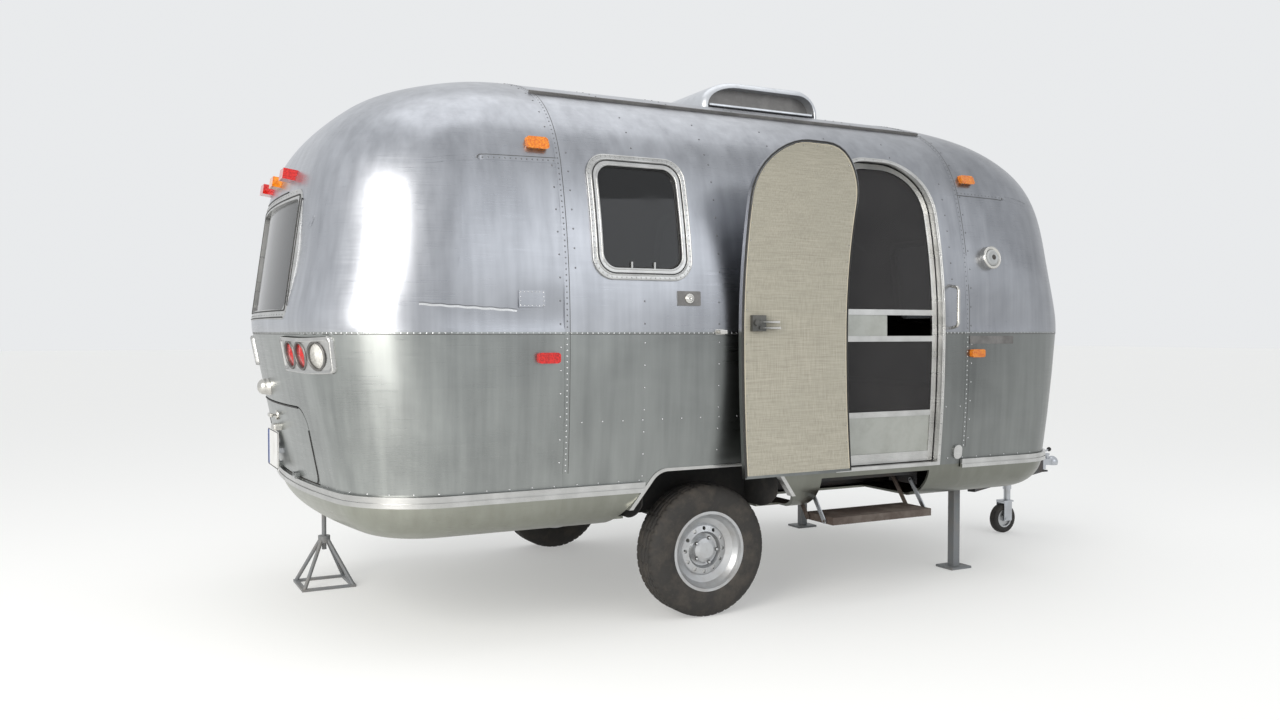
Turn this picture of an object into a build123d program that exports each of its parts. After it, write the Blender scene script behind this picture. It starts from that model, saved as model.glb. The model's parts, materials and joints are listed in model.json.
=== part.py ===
"""Riveted aluminium travel caravan on one axle, parked on its jockey wheel and stands.

Sizes are millimetres. The body is laid out from three lines: x runs forward from the seam
of the rear cap, y runs left from the centreline and z runs up from the belt line, where the
body is widest. TO_ORIGIN moves each finished piece so that the origin lies on the floor.
"""
import os
from functools import cache
from math import atan2, cos, degrees, hypot, pi, radians, sin, sqrt

from build123d import *

# Body shell
HALF_WIDTH = 1200.0
FRONT_SEAM_X = 2520.0
REAR_REACH = 1180.0
FRONT_REACH = 1090.0
WALL = 45.0
SKIN_GAP = 0.3
RAIL_Z = -757.0
BOW_RADIUS = 4300.0

# Arcs of the cross-section, tangent to each other
SIDE_RADIUS = 3000.0
LOWER_SIDE_RADIUS = 7600.0
SHOULDER_RADIUS = 620.0
SHOULDER_INSET = 704.0
GUTTER_INSET = 449.0

# Underside
BELLY_DROP = 193.0
BELLY_CURVE_IN = 225.0
BELLY_SHEET = 12.0
FLOOR_THICK = 18.0

# Ground and running gear
GROUND_Z = -1465.0
AXLE_X = 850.0
TYRE_RADIUS = 340.0
TYRE_WIDTH = 205.0
TYRE_OUTER_Y = 1105.0
RIM_RADIUS = 196.0
SPINDLE_RADIUS = 20.0
HUB_RADIUS = 58.0
RUNNING_GAP = 0.3

# Wheel arch opening: straight top, sloping sides
ARCH_TOP_Z = -685.0
ARCH_TOP_HALF = 335.0
ARCH_FOOT_HALF = 480.0
ARCH_CORNER = 100.0
ARCH_TRIM = 16.0
WELL_SHEET = 5.0
WELL_INNER_Y = 800.0
WELL_HALF = 400.0

# Doorway
DOOR_X0 = 1623.0
DOOR_X1 = 2315.0
DOOR_TOP_Z = 955.0
DOOR_SILL = 20.0
DOOR_CORNER = 290.0
FRAME_FACE = 22.0
FRAME_PROUD = 4.0
FRAME_DEPTH = 54.0
LEAF_THICK = 26.0
LINER_THICK = 4.0
LEAF_GAP = 6.0
HINGE_OUT = 18.0
DOOR_OPEN = 178.0
HINGE_Z = (-60.0, 180.0)
HINGE_KNUCKLE = 8.0
HINGE_PIN = 3.5
SCREEN_HINGE_Z = (-140.0, 160.0)
SCREEN_KNUCKLE = 6.0
SCREEN_PIN = 2.5
SCREEN_OUTER = 37.0
SCREEN_THICK = 13.0
SCREEN_STILE = 34.0
SCREEN_BAR_Z = (124.0, -22.0, -440.0)
SCREEN_BAR = 31.0

# Side windows, from the rear seam
WINDOW_WIDTH = 540.0
WINDOW_Z0 = 250.0
WINDOW_Z1 = 860.0
WINDOW_CORNER = 105.0
WINDOW_FRAME = 56.0
WINDOW_PROUD = 9.0
GLASS_THICK = 5.0
GLASS_INSET = 8.0
WINDOW_RIGHT_X = (420.0,)
WINDOW_LEFT_X = (420.0, 1969.0)

# End windows and the panel that holds them
END_WINDOW_HALF = 575.0
END_WINDOW_Z0 = 62.0
END_WINDOW_Z1 = 690.0
END_FLAT_Z = (100.0, 740.0)
END_FLAT_INSET = (8.0, 101.0)

# Rear hatch
HATCH_HALF = 600.0
HATCH_TOP_Z = -360.0
HATCH_FOOT_Z = -719.0
HATCH_THICK = 22.0
HATCH_GAP = 6.0
HATCH_HINGE_Y = 250.0

# Tow gear
COUPLING_X = 4560.0
COUPLING_Z = -1030.0
BALL_RADIUS = 25.5
BALL_SEAT_DEPTH = 22.0
DRAWBAR_HEIGHT = 100.0
DRAWBAR_WIDTH = 50.0
DRAWBAR_Z = -925.0
JOCKEY_X = 4010.0
JOCKEY_WHEEL_RADIUS = 105.0
JOCKEY_WHEEL_WIDTH = 56.0
JOCKEY_TRAIL = 45.0

# Entry step
STEP_X0 = 1550.0
STEP_X1 = 2220.0
STEP_TREAD_Z = -990.0
STEP_TREAD_DEPTH = 235.0
STEP_TREAD_THICK = 40.0
STEP_PIVOT_Y = -1030.0
STEP_PIVOT_SPACING = 150.0
STEP_PIVOT_Z = -850.0
STEP_LINK_DROP = 165.0
STEP_LINK_OUT = 125.0
STEP_RECESS_Y = 600.0

REAR_STAND = (-760.0, 560.0)
FRONT_STAND_X = 2808.0
FRONT_STAND_Y = 790.0

# The end caps, level by level: z, inset of the end, radius of the corner in plan
CAP_LEVELS = [
    (RAIL_Z, 145.0, 430.0),
    (-500.0, 96.0, 480.0),
    (-250.0, 48.0, 530.0),
    (0.0, 0.0, 578.0),
    (240.0, 28.3, 583.0),
    (490.0, 64.7, 590.0),
    (END_FLAT_Z[1], END_FLAT_INSET[1], 595.0),
    (900.0, 168.0, 605.0),
]

# The crown of the caps: drop under the roof's top, inset of the end, radius of the corner
CROWN_LEVELS = [
    (323.3, 272.0, 610.0),
    (213.3, 412.0, 600.0),
    (128.3, 575.0, 540.0),
    (68.3, 740.0, 430.0),
    (28.3, 900.0, 250.0),
    (3.3, 1060.0, 110.0),
]

# Where the arcs of the cross-section meet: sines of their turns, and heights
SHOULDER_Z = sqrt((SIDE_RADIUS - SHOULDER_RADIUS) ** 2 - (SIDE_RADIUS - SHOULDER_INSET) ** 2)
SIDE_TOP = SHOULDER_Z / (SIDE_RADIUS - SHOULDER_RADIUS)
GUTTER_Z = SHOULDER_Z + sqrt(SHOULDER_RADIUS**2 - (SHOULDER_INSET - GUTTER_INSET) ** 2)
GUTTER_RISE = (GUTTER_Z - SHOULDER_Z) / SHOULDER_RADIUS
ROOF_RADIUS = SHOULDER_RADIUS * (HALF_WIDTH - GUTTER_INSET) / (SHOULDER_INSET - GUTTER_INSET)
ROOF_CENTRE_Z = GUTTER_Z - ROOF_RADIUS * GUTTER_RISE
ROOF_TOP_Z = ROOF_CENTRE_Z + ROOF_RADIUS

FRONT_SHARE = FRONT_REACH / REAR_REACH
CAP_LEVELS += [(ROOF_TOP_Z - drop, inset, corner) for drop, inset, corner in CROWN_LEVELS]

BELLY_Z = RAIL_Z - BELLY_DROP
AXLE_Z = GROUND_Z + TYRE_RADIUS

# The origin lies on the floor, under the middle of the whole outline
REACH_BACK = REAR_REACH + WINDOW_PROUD
REACH_RIGHT = 1470.0
TO_ORIGIN = Location((
    (REACH_BACK - COUPLING_X - 40.0) / 2,
    (REACH_RIGHT - HALF_WIDTH - 4.0) / 2,
    -GROUND_Z,
))


def block(x0, x1, y0, y1, z0, z1):
    """A box from its six faces."""
    size = (x1 - x0, y1 - y0, z1 - z0)
    return Pos((x0 + x1) / 2, (y0 + y1) / 2, (z0 + z1) / 2) * Box(*size)


def bar(start, end, radius):
    """A round bar between two points."""
    run = Vector(*end) - Vector(*start)
    middle = (Vector(*start) + Vector(*end)) * 0.5
    plane = Plane(origin=middle, z_dir=run)
    return plane * Cylinder(radius, run.length)


def tube_of(start, end, width, height):
    """A rectangular bar between two points at one level, its height along z."""
    run = Vector(*end) - Vector(*start)
    middle = (Vector(*start) + Vector(*end)) * 0.5
    plane = Plane(origin=middle, x_dir=(run.X, run.Y, 0), z_dir=(0, 0, 1))
    return plane * Box(run.length, width, height)


def mirrored(shape):
    """The same piece on the other side of the centreline."""
    return mirror(shape, about=Plane.XZ)


def both_sides(shape):
    return Compound(solids_of(shape) + solids_of(mirrored(shape)))


def solids_of(*shapes):
    return [solid for shape in shapes for solid in shape.solids()]


def side_inset(z, depth=0.0):
    """How far the side lies inside the widest line at height z, depth under the skin."""
    if z < 0:
        radius = LOWER_SIDE_RADIUS - depth
        return LOWER_SIDE_RADIUS - sqrt(radius**2 - z**2)
    radius = SIDE_RADIUS - depth
    if z <= radius * SIDE_TOP:
        return SIDE_RADIUS - sqrt(radius**2 - z**2)
    radius = SHOULDER_RADIUS - depth
    if z <= SHOULDER_Z + radius * GUTTER_RISE:
        return SHOULDER_INSET - sqrt(radius**2 - (z - SHOULDER_Z) ** 2)
    radius = ROOF_RADIUS - depth
    return HALF_WIDTH - sqrt(max(radius**2 - (z - ROOF_CENTRE_Z) ** 2, 0.0))


def side_turn(z):
    """Angle of the skin's normal above the horizontal at height z."""
    if z <= 0:
        return -z / LOWER_SIDE_RADIUS * -1.0
    if z <= SIDE_RADIUS * SIDE_TOP:
        return atan2(z, sqrt(SIDE_RADIUS**2 - z**2))
    if z <= GUTTER_Z:
        return atan2(z - SHOULDER_Z, sqrt(SHOULDER_RADIUS**2 - (z - SHOULDER_Z) ** 2))
    return atan2(z - ROOF_CENTRE_Z, sqrt(max(ROOF_RADIUS**2 - (z - ROOF_CENTRE_Z) ** 2, 0.0)))


def section_arc(centre_inset, centre_z, radius, z0, z1, side):
    """One arc of the cross-section on the YZ plane, from height z0 to z1."""
    points = []
    for z in (z0, (z0 + z1) / 2, z1):
        out = sqrt(radius**2 - (z - centre_z) ** 2)
        points.append(Vector(0, side * (HALF_WIDTH - centre_inset + out), z))
    return Edge.make_three_point_arc(*points)


def side_edges(depth, bottom_z, side):
    """The lower, middle and shoulder arcs of one side, depth under the skin."""
    side_r = SIDE_RADIUS - depth
    shoulder_r = SHOULDER_RADIUS - depth
    top = SHOULDER_Z + shoulder_r * GUTTER_RISE
    return [
        section_arc(LOWER_SIDE_RADIUS, 0, LOWER_SIDE_RADIUS - depth, bottom_z, 0, side),
        section_arc(SIDE_RADIUS, 0, side_r, 0, side_r * SIDE_TOP, side),
        section_arc(SHOULDER_INSET, SHOULDER_Z, shoulder_r, side_r * SIDE_TOP, top, side),
    ]


def side_band(outer, inner, x0, x1, side=-1, bottom_z=RAIL_Z):
    """A slab of one side wall between two depths under the skin; below 0 is proud."""
    outside = side_edges(outer, bottom_z, side)
    inside = side_edges(inner, bottom_z, side)
    foot = Edge.make_line(outside[0] @ 0, inside[0] @ 0)
    head = Edge.make_line(outside[-1] @ 1, inside[-1] @ 1)
    face = Face(Wire(outside + inside + [foot, head]))
    return Pos(x0, 0, 0) * extrude(face, x1 - x0, dir=(1, 0, 0))


def roof_band(outer, inner, x0, x1):
    """The roof between the two gutters, between two depths under the skin."""
    edges = []
    ends = []
    for depth in (outer, inner):
        radius = ROOF_RADIUS - depth
        z = ROOF_CENTRE_Z + radius * GUTTER_RISE
        y = sqrt(radius**2 - (z - ROOF_CENTRE_Z) ** 2)
        points = [(0, -y, z), (0, 0, ROOF_CENTRE_Z + radius), (0, y, z)]
        edges.append(Edge.make_three_point_arc(*[Vector(*p) for p in points]))
        ends.append((Vector(*points[0]), Vector(*points[2])))
    edges += [Edge.make_line(a, b) for a, b in zip(*ends)]
    return Pos(x0, 0, 0) * extrude(Face(Wire(edges)), x1 - x0, dir=(1, 0, 0))


def bow_points(half, reach, corner):
    """Corner tangent points of a bowed end: on the side, on the corner, on the bow."""
    bow_x = BOW_RADIUS - reach
    across = half - corner
    along = sqrt((BOW_RADIUS - corner) ** 2 - across**2)
    centre_x = bow_x - along
    on_side = (centre_x, half)
    on_bow = (bow_x - along * BOW_RADIUS / (BOW_RADIUS - corner),
              across * BOW_RADIUS / (BOW_RADIUS - corner))
    turn = atan2(across, along) / 2 + pi / 4
    on_corner = (centre_x - corner * cos(turn), across + corner * sin(turn))
    return on_side, on_corner, on_bow


def end_edges(half, reach, corner, z, base_x=0.0, facing=-1):
    """Corner, bow and corner of one end of a level outline, from the right side round."""
    side, knee, bow = bow_points(half, reach, corner)

    def at(point, sign):
        return Vector(base_x - facing * point[0], sign * point[1], z)

    tip = Vector(base_x + facing * reach, 0, z)
    return [
        Edge.make_three_point_arc(at(side, -1), at(knee, -1), at(bow, -1)),
        Edge.make_three_point_arc(at(bow, -1), tip, at(bow, 1)),
        Edge.make_three_point_arc(at(bow, 1), at(knee, 1), at(side, 1)),
    ]


def cap_outline(half, reach, corner, z, base_x, facing):
    """One level of an end cap, closed straight across at its seam."""
    curves = end_edges(half, reach, corner, z, base_x, facing)
    right = Vector(base_x, -half, z)
    left = Vector(base_x, half, z)
    lines = [
        Edge.make_line(right, curves[0] @ 0),
        Edge.make_line(curves[2] @ 1, left),
        Edge.make_line(left, right),
    ]
    return Wire(lines[:1] + curves + lines[1:])


def full_outline(inward, z):
    """The body's whole outline at the rail, moved inward and drawn at height z."""
    half = HALF_WIDTH - side_inset(RAIL_Z) - inward
    reach = REAR_REACH - CAP_LEVELS[0][1]
    corner = CAP_LEVELS[0][2]
    back = end_edges(half, reach - inward, corner - inward, z)
    nose = end_edges(half, reach * FRONT_SHARE - inward, corner * FRONT_SHARE - inward, z,
                     FRONT_SEAM_X, 1)
    right = Edge.make_line(back[0] @ 0, nose[0] @ 0)
    left = Edge.make_line(back[2] @ 1, nose[2] @ 1)
    return Wire([right] + back + [left] + nose)


def interpolate(x, points):
    for (x0, y0), (x1, y1) in zip(points, points[1:]):
        if x <= x1:
            return y0 + (y1 - y0) * (x - x0) / (x1 - x0)
    return points[-1][1]


def cap_rows(share, depth):
    """Level rows z, half width, reach, corner radius of a cap, depth under its skin."""
    reach = REAR_REACH * share
    skin = [(z, reach - inset * share) for z, inset, _ in CAP_LEVELS]
    if depth == 0:
        return [(z, HALF_WIDTH - side_inset(z), out, corner * share)
                for (z, out), (_, _, corner) in zip(skin, CAP_LEVELS)]
    shifted = []
    for i, (z, out) in enumerate(skin):
        low, high = skin[max(i - 1, 0)], skin[min(i + 1, len(skin) - 1)]
        rise, fall = high[0] - low[0], low[1] - high[1]
        length = hypot(rise, fall)
        shifted.append((z - depth * fall / length, out - depth * rise / length))
    rows = []
    for z, _, corner in CAP_LEVELS:
        level = z - depth * max(sin(side_turn(z)), 0.0)
        half = HALF_WIDTH - side_inset(level, depth)
        out = interpolate(level, shifted)
        rows.append((level, half, out, min(corner * share - depth, half - 30, out - 5)))
    return [row for row in rows if row[3] > 20]


def cap_solid(share, depth, base_x, facing):
    """A solid end cap: straight runs between the levels below the belt, a dome above."""
    outlines = [cap_outline(half, out, corner, z, base_x, facing)
                for z, half, out, corner in cap_rows(share, depth)]
    belt = [z for z, _, _ in CAP_LEVELS].index(0.0)
    skirt = Solid.make_loft(outlines[:belt + 1], ruled=True)
    return skirt + Solid.make_loft(outlines[belt:])


def cap_shell(share, base_x, facing):
    outer = cap_solid(share, 0.0, base_x, facing)
    inner = cap_solid(share, WALL, base_x, facing)
    return outer - inner


def belly_solid(depth):
    """The wrap below the rail and the bottom sheet, as one solid, depth under its skin."""
    outlines = []
    for share in (0.0, 0.3, 0.58, 0.82, 1.0):
        drop = BELLY_DROP * share
        inward = BELLY_CURVE_IN * (1 - sqrt(1 - (share * 0.985) ** 2)) + depth
        z = RAIL_Z - drop + depth * share
        outlines.append(full_outline(inward, z))
    return Solid.make_loft(outlines)


def prism_y(sketch_face, y0, y1):
    """A face drawn on the XZ plane, extruded from y0 to y1."""
    return Pos(0, y0, 0) * extrude(sketch_face, y1 - y0, dir=(0, 1, 0))


def arch_top_face(x0, x1, z0, z1, corner):
    """Upright outline with square feet and a round top, on the XZ plane."""
    mid = (x0 + x1) / 2
    knee = corner * (1 - sqrt(0.5))
    points = [Vector(x0, 0, z0), Vector(x0, 0, z1 - corner), Vector(x0 + corner, 0, z1),
              Vector(x1 - corner, 0, z1), Vector(x1, 0, z1 - corner), Vector(x1, 0, z0)]
    edges = [
        Edge.make_line(points[0], points[1]),
        Edge.make_three_point_arc(points[1], Vector(x0 + knee, 0, z1 - knee), points[2]),
        Edge.make_line(points[2], points[3]),
        Edge.make_three_point_arc(points[3], Vector(x1 - knee, 0, z1 - knee), points[4]),
        Edge.make_line(points[4], points[5]),
        Edge.make_line(points[5], points[0]),
    ]
    return Face(Wire(edges))


def round_face(x0, x1, z0, z1, corner):
    """Rounded rectangle on the XZ plane."""
    plane = Plane(origin=((x0 + x1) / 2, 0, (z0 + z1) / 2), x_dir=(1, 0, 0), z_dir=(0, -1, 0))
    sketch = plane * RectangleRounded(x1 - x0, z1 - z0, corner)
    return sketch.faces()[0]


def window_prism(centre_x, margin, y0, y1):
    """Prism through a side window, its outline margin inside the frame's edge."""
    half = WINDOW_WIDTH / 2 - margin
    face = round_face(centre_x - half, centre_x + half, WINDOW_Z0 + margin,
                      WINDOW_Z1 - margin, WINDOW_CORNER - margin * 0.6)
    return prism_y(face, y0, y1)


def door_prism(margin, y0, y1, foot=0.0):
    """Prism through the doorway; margin grows the clear opening, foot lowers its bottom."""
    face = arch_top_face(DOOR_X0 - margin, DOOR_X1 + margin, RAIL_Z + DOOR_SILL - foot,
                         DOOR_TOP_Z + margin, DOOR_CORNER + margin)
    return prism_y(face, y0, y1)


def leaf_prism(margin, y0, y1):
    """Prism of a door leaf, margin inside the clear opening all round."""
    return door_prism(-margin, y0, y1, foot=-margin)


def arch_face(grow, foot_z):
    """Wheel arch outline on the XZ plane, a straight top with round corners."""
    slope = (ARCH_FOOT_HALF - ARCH_TOP_HALF) / (ARCH_TOP_Z + 880.0)
    top = ARCH_TOP_Z + grow
    top_half = ARCH_TOP_HALF + grow * 0.75
    foot_half = top_half + slope * (top - foot_z)
    outline = Polyline([(AXLE_X - foot_half, 0, foot_z), (AXLE_X - top_half, 0, top),
                        (AXLE_X + top_half, 0, top), (AXLE_X + foot_half, 0, foot_z)],
                       close=True)
    face = Face(Wire(outline.edges()))
    upper = [v for v in face.vertices() if v.Z > top - 1]
    return face.fillet_2d(ARCH_CORNER + grow, upper)


def end_plane(facing):
    """Plane of an end panel: origin on the centreline at belt height, z_dir outward."""
    rise = END_FLAT_Z[1] - END_FLAT_Z[0]
    share = 1.0 if facing < 0 else FRONT_SHARE
    lean = (END_FLAT_INSET[1] - END_FLAT_INSET[0]) * share / rise
    reach = REAR_REACH if facing < 0 else FRONT_REACH
    out = reach - END_FLAT_INSET[0] * share + END_FLAT_Z[0] * lean
    base = 0.0 if facing < 0 else FRONT_SEAM_X
    normal = Vector(facing, 0, lean)
    up = Vector(-facing * lean, 0, 1)
    across = up.cross(normal)
    return Plane(origin=(base + facing * out, 0, 0), x_dir=across, z_dir=normal)


def end_band(facing, outer, inner):
    """Slab of the bowed end panel between two depths under its skin."""
    plane = end_plane(facing)
    ring = Cylinder(BOW_RADIUS - outer, 900, align=(Align.CENTER, Align.CENTER, Align.MIN))
    ring -= Cylinder(BOW_RADIUS - inner, 900, align=(Align.CENTER, Align.CENTER, Align.MIN))
    ring &= Pos(BOW_RADIUS, 0, 450) * Box(1200, 1800, 900)
    turned = Plane(origin=plane.origin, x_dir=plane.z_dir, z_dir=plane.y_dir)
    return turned * (Pos(-BOW_RADIUS, 0, 0) * ring)


def end_window_prism(facing, margin):
    plane = end_plane(facing)
    height = END_WINDOW_Z1 - END_WINDOW_Z0 - 2 * margin
    sketch = RectangleRounded(2 * (END_WINDOW_HALF - margin), height, 70 - margin * 0.6)
    face = (Pos(0, (END_WINDOW_Z0 + END_WINDOW_Z1) / 2, 0) * sketch).faces()[0]
    solid = extrude(face, 200, both=True, dir=(0, 0, 1))
    return plane * solid


# Body panels

def wheel_well_block(grow=0.0):
    """The space of both wheel wells, grown by the sheet for the pieces around them."""
    outer_y = HALF_WIDTH - side_inset(RAIL_Z) - WALL - SKIN_GAP
    box = block(AXLE_X - WELL_HALF - grow, AXLE_X + WELL_HALF + grow,
                -outer_y, -WELL_INNER_Y + grow, BELLY_Z - 60, ARCH_TOP_Z + 30 + grow)
    return both_sides(box)


def step_block():
    """The recess in the right side of the belly where the step folds in."""
    return block(STEP_X0 - 42, STEP_X1 + 42, -HALF_WIDTH - 10, -STEP_RECESS_Y,
                 BELLY_Z - 60, RAIL_Z - FLOOR_THICK - 8)


def arch_cut(grow):
    face = arch_face(grow, BELLY_Z - 60)
    return Compound(solids_of(prism_y(face, -HALF_WIDTH - 60, -HALF_WIDTH + 290),
                              prism_y(face, HALF_WIDTH - 290, HALF_WIDTH + 60)))


def build_side_walls():
    right = side_band(0, WALL, 0, FRONT_SEAM_X, -1)
    left = side_band(0, WALL, 0, FRONT_SEAM_X, 1)
    arches = arch_cut(ARCH_TRIM)
    right = right - arches - door_prism(FRAME_FACE, -1400, -900, foot=DOOR_SILL)
    for x in WINDOW_RIGHT_X:
        right -= window_prism(x, 0, -1400, -900)
    left -= arches
    for x in WINDOW_LEFT_X:
        left -= window_prism(x, 0, 900, 1400)
    return right, left


def build_end(facing):
    share = 1.0 if facing < 0 else FRONT_SHARE
    base = 0.0 if facing < 0 else FRONT_SEAM_X
    shell = cap_shell(share, base, facing)
    shell -= end_window_prism(facing, 0)
    if facing < 0:
        shell -= hatch_prism(HATCH_GAP)
    reach = base + facing * REAR_REACH
    lower = block(min(base, reach), max(base, reach), -HALF_WIDTH, HALF_WIDTH, RAIL_Z, 0)
    return shell & lower, shell - lower


def build_belly():
    """The flat sheet under the frame, the wraps along the sides and those round the ends."""
    belly = belly_solid(0.0) - belly_solid(BELLY_SHEET)
    belly -= arch_cut(ARCH_TRIM)
    belly -= wheel_well_block(WELL_SHEET)
    belly -= step_block()
    wide = HALF_WIDTH + 100
    under = block(-REAR_REACH, FRONT_SEAM_X + FRONT_REACH, -wide, wide,
                  BELLY_Z - 10, BELLY_Z + BELLY_SHEET)
    wraps = belly - under
    middle = block(0, FRONT_SEAM_X, -wide, wide, BELLY_Z, RAIL_Z)
    return belly & under, wraps & middle, wraps - middle


def build_floor():
    outline = full_outline(BELLY_SHEET + 4, RAIL_Z - FLOOR_THICK)
    floor = extrude(Face(outline), FLOOR_THICK, dir=(0, 0, 1))
    floor -= arch_cut(ARCH_TRIM)
    floor -= wheel_well_block(WELL_SHEET)
    return floor


def build_wells():
    """Sheet boxes over the wheels, open below and at the arch."""
    outer = wheel_well_block(WELL_SHEET - SKIN_GAP)
    inside = block(AXLE_X - 600, AXLE_X + 600, -HALF_WIDTH, 0, RAIL_Z, ARCH_TOP_Z + 60)
    inside += belly_solid(BELLY_SHEET)
    shell = (outer - wheel_well_block()).solids().sort_by(Axis.Y)[0]
    return both_sides(shell & inside)


def build_door_frame():
    ring = door_prism(FRAME_FACE - SKIN_GAP, -1400, -900, foot=DOOR_SILL)
    ring -= door_prism(0, -1401, -899)
    return side_band(-FRAME_PROUD, FRAME_DEPTH, DOOR_X0 - 60, DOOR_X1 + 60) & ring


def build_side_windows():
    frames, panes = [], []
    places = [(-1, x) for x in WINDOW_RIGHT_X] + [(1, x) for x in WINDOW_LEFT_X]
    for side, x in places:
        y0, y1 = sorted((side * 900, side * 1400))
        x0, x1 = x - WINDOW_WIDTH, x + WINDOW_WIDTH
        ring = window_prism(x, SKIN_GAP, y0, y1) - window_prism(x, WINDOW_FRAME, y0 - 1, y1 + 1)
        frames.append(side_band(-WINDOW_PROUD, WALL, x0, x1, side) & ring)
        glass = side_band(GLASS_INSET, GLASS_INSET + GLASS_THICK, x0, x1, side)
        panes.append(glass & window_prism(x, WINDOW_FRAME + SKIN_GAP, y0, y1))
    return Compound(solids_of(*frames)), Compound(solids_of(*panes))


def build_end_windows():
    frames, panes = [], []
    for facing in (-1, 1):
        ring = end_window_prism(facing, SKIN_GAP) - end_window_prism(facing, 48)
        frames.append(end_band(facing, -WINDOW_PROUD, WALL) & ring)
        glass = end_band(facing, GLASS_INSET, GLASS_INSET + GLASS_THICK)
        panes.append(glass & end_window_prism(facing, 48 + SKIN_GAP))
    return Compound(solids_of(*frames)), Compound(solids_of(*panes))


def build_rub_rail():
    seat = 5.4

    def ring(out, z, height):
        return extrude(Face(full_outline(-seat - out, z)), height, dir=(0, 0, 1))

    rail = ring(16, RAIL_Z - 23, 50) - ring(0, RAIL_Z - 24, 52)
    rail -= ring(20, RAIL_Z - 2, 6) - ring(10, RAIL_Z - 2, 6)
    arch_half = ARCH_TOP_HALF + 84
    rail -= block(AXLE_X - arch_half, AXLE_X + arch_half, -1400, 1400, RAIL_Z - 60, RAIL_Z + 60)
    rail -= block(AXLE_X, 2490, -1400, 0, RAIL_Z - 60, RAIL_Z + 60)
    return rail


def build_arch_trim():
    outer = prism_y(arch_face(ARCH_TRIM - SKIN_GAP, RAIL_Z - 120), -1400, -900)
    inner = prism_y(arch_face(0, RAIL_Z - 121), -1401, -899)
    band = side_band(-4, WALL - 6, AXLE_X - 600, AXLE_X + 600, -1, RAIL_Z - 110)
    return both_sides(band & (outer - inner))


def build_gutters():
    y = HALF_WIDTH - GUTTER_INSET
    turn = degrees(atan2(GUTTER_RISE, sqrt(1 - GUTTER_RISE**2)))
    section = Rot(X=-turn) * Box(FRONT_SEAM_X, 14, 16)
    slot = Rot(X=-turn) * (Pos(0, -5, 0) * Box(FRONT_SEAM_X, 6, 7))
    out = 7 + SKIN_GAP
    place = Pos(FRONT_SEAM_X / 2, -y - out * cos(radians(turn)), GUTTER_Z + out * sin(radians(turn)))
    return both_sides(place * (section - slot))


def build_vent_hood():
    length, width, height = 850.0, 600.0, 175.0
    centre_x = 1705.0
    body = Pos(centre_x, 0, ROOF_TOP_Z - 30 + height / 2) * Box(length, width, height + 10)
    body = fillet(body.edges().filter_by(Axis.Z), 120)
    body = fillet(body.edges().group_by(Axis.Z)[-1], 55)
    roof = Pos(centre_x, 0, ROOF_CENTRE_Z) * (Rot(Y=90) * Cylinder(ROOF_RADIUS + SKIN_GAP, 2000))
    body -= roof
    for side in (-1, 1):
        body -= Pos(centre_x, side * (width / 2), ROOF_TOP_Z + 58) * Box(640, 60, 46)
    return body


# Lamps and small fittings

@cache
def end_skin(facing):
    """The outer form of an end cap, used to seat what is fixed on it."""
    share = 1.0 if facing < 0 else FRONT_SHARE
    base = 0.0 if facing < 0 else FRONT_SEAM_X
    return cap_solid(share, 0.0, base, facing)


def side_pad(x, z, width, height, proud, corner):
    """A plate or lamp that stands proud of the right side."""
    face = round_face(x - width / 2, x + width / 2, z - height / 2, z + height / 2, corner)
    pad = side_band(-proud, 4, x - width, x + width) & prism_y(face, -1400, -600)
    return seated(pad, x)


def seated(shape, x):
    """A fitting at x, cut back to the skin under it and set just clear of it."""
    if x < 0:
        shape -= end_skin(-1)
    elif x > FRONT_SEAM_X:
        shape -= end_skin(1)
    else:
        shape -= side_band(0, WALL, 0, FRONT_SEAM_X)
    return Pos(0, -SKIN_GAP, 0) * shape.solids().sort_by(SortBy.VOLUME)[-1]


LAMP_AMBER = [(-85.0, 888.0, 110.0, 60.0), (2613.0, 890.0, 100.0, 52.0), (2575.0, -122.0, 100.0, 46.0)]
LAMP_RED = [(-85.0, -120.0, 110.0, 50.0)]
ROOF_LAMP_SPACING = 320.0


def build_tail_lamps():
    """Lamp housings on the rear corners: bezels, red lenses and white lenses."""
    skin = end_skin(-1)
    bezels, red, white = [], [], []
    turn = 13.0
    centre = Pos(-1013, -740, -110) * Rot(Z=turn)
    shell = centre * Pos(-40, 0, 0) * Box(170, 480, 168)
    housing = shell - skin
    housing = housing.solids().sort_by(SortBy.VOLUME)[-1]
    lens_rows = [(140.0, red), (-10.0, red), (-155.0, white)]
    for offset, bucket in lens_rows:
        seat = centre * Pos(-125 + 30, -offset + 15, 0) * (Rot(Y=90) * Cylinder(62, 60))
        lens = centre * Pos(-125 + 38, -offset + 15, 0) * (Rot(Y=90) * Cylinder(61.5, 43))
        housing -= seat
        bucket.append((lens - skin).solids().sort_by(SortBy.VOLUME)[-1])
    bezels.append(housing)
    return [Compound(solids_of(*group) + solids_of(*[mirrored(s) for s in group]))
            for group in (bezels, red, white)]


def build_marker_lamps():
    """Lens bodies on the side and over the rear window."""
    amber, red = [], []
    for table, bucket in ((LAMP_AMBER, amber), (LAMP_RED, red)):
        for x, z, width, height in table:
            pad = side_pad(x, z, width, height, 24, min(width, height) * 0.3)
            bucket += solids_of(pad, mirrored(pad))
    plane = end_plane(-1)
    for i, bucket in ((-1, red), (0, amber), (1, red)):
        lamp = plane * Pos(i * ROOF_LAMP_SPACING, 770, 0) * Box(105, 52, 90)
        bucket += [(lamp - end_skin(-1)).solids().sort_by(SortBy.VOLUME)[-1]]
    return Compound(amber), Compound(red)


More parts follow.
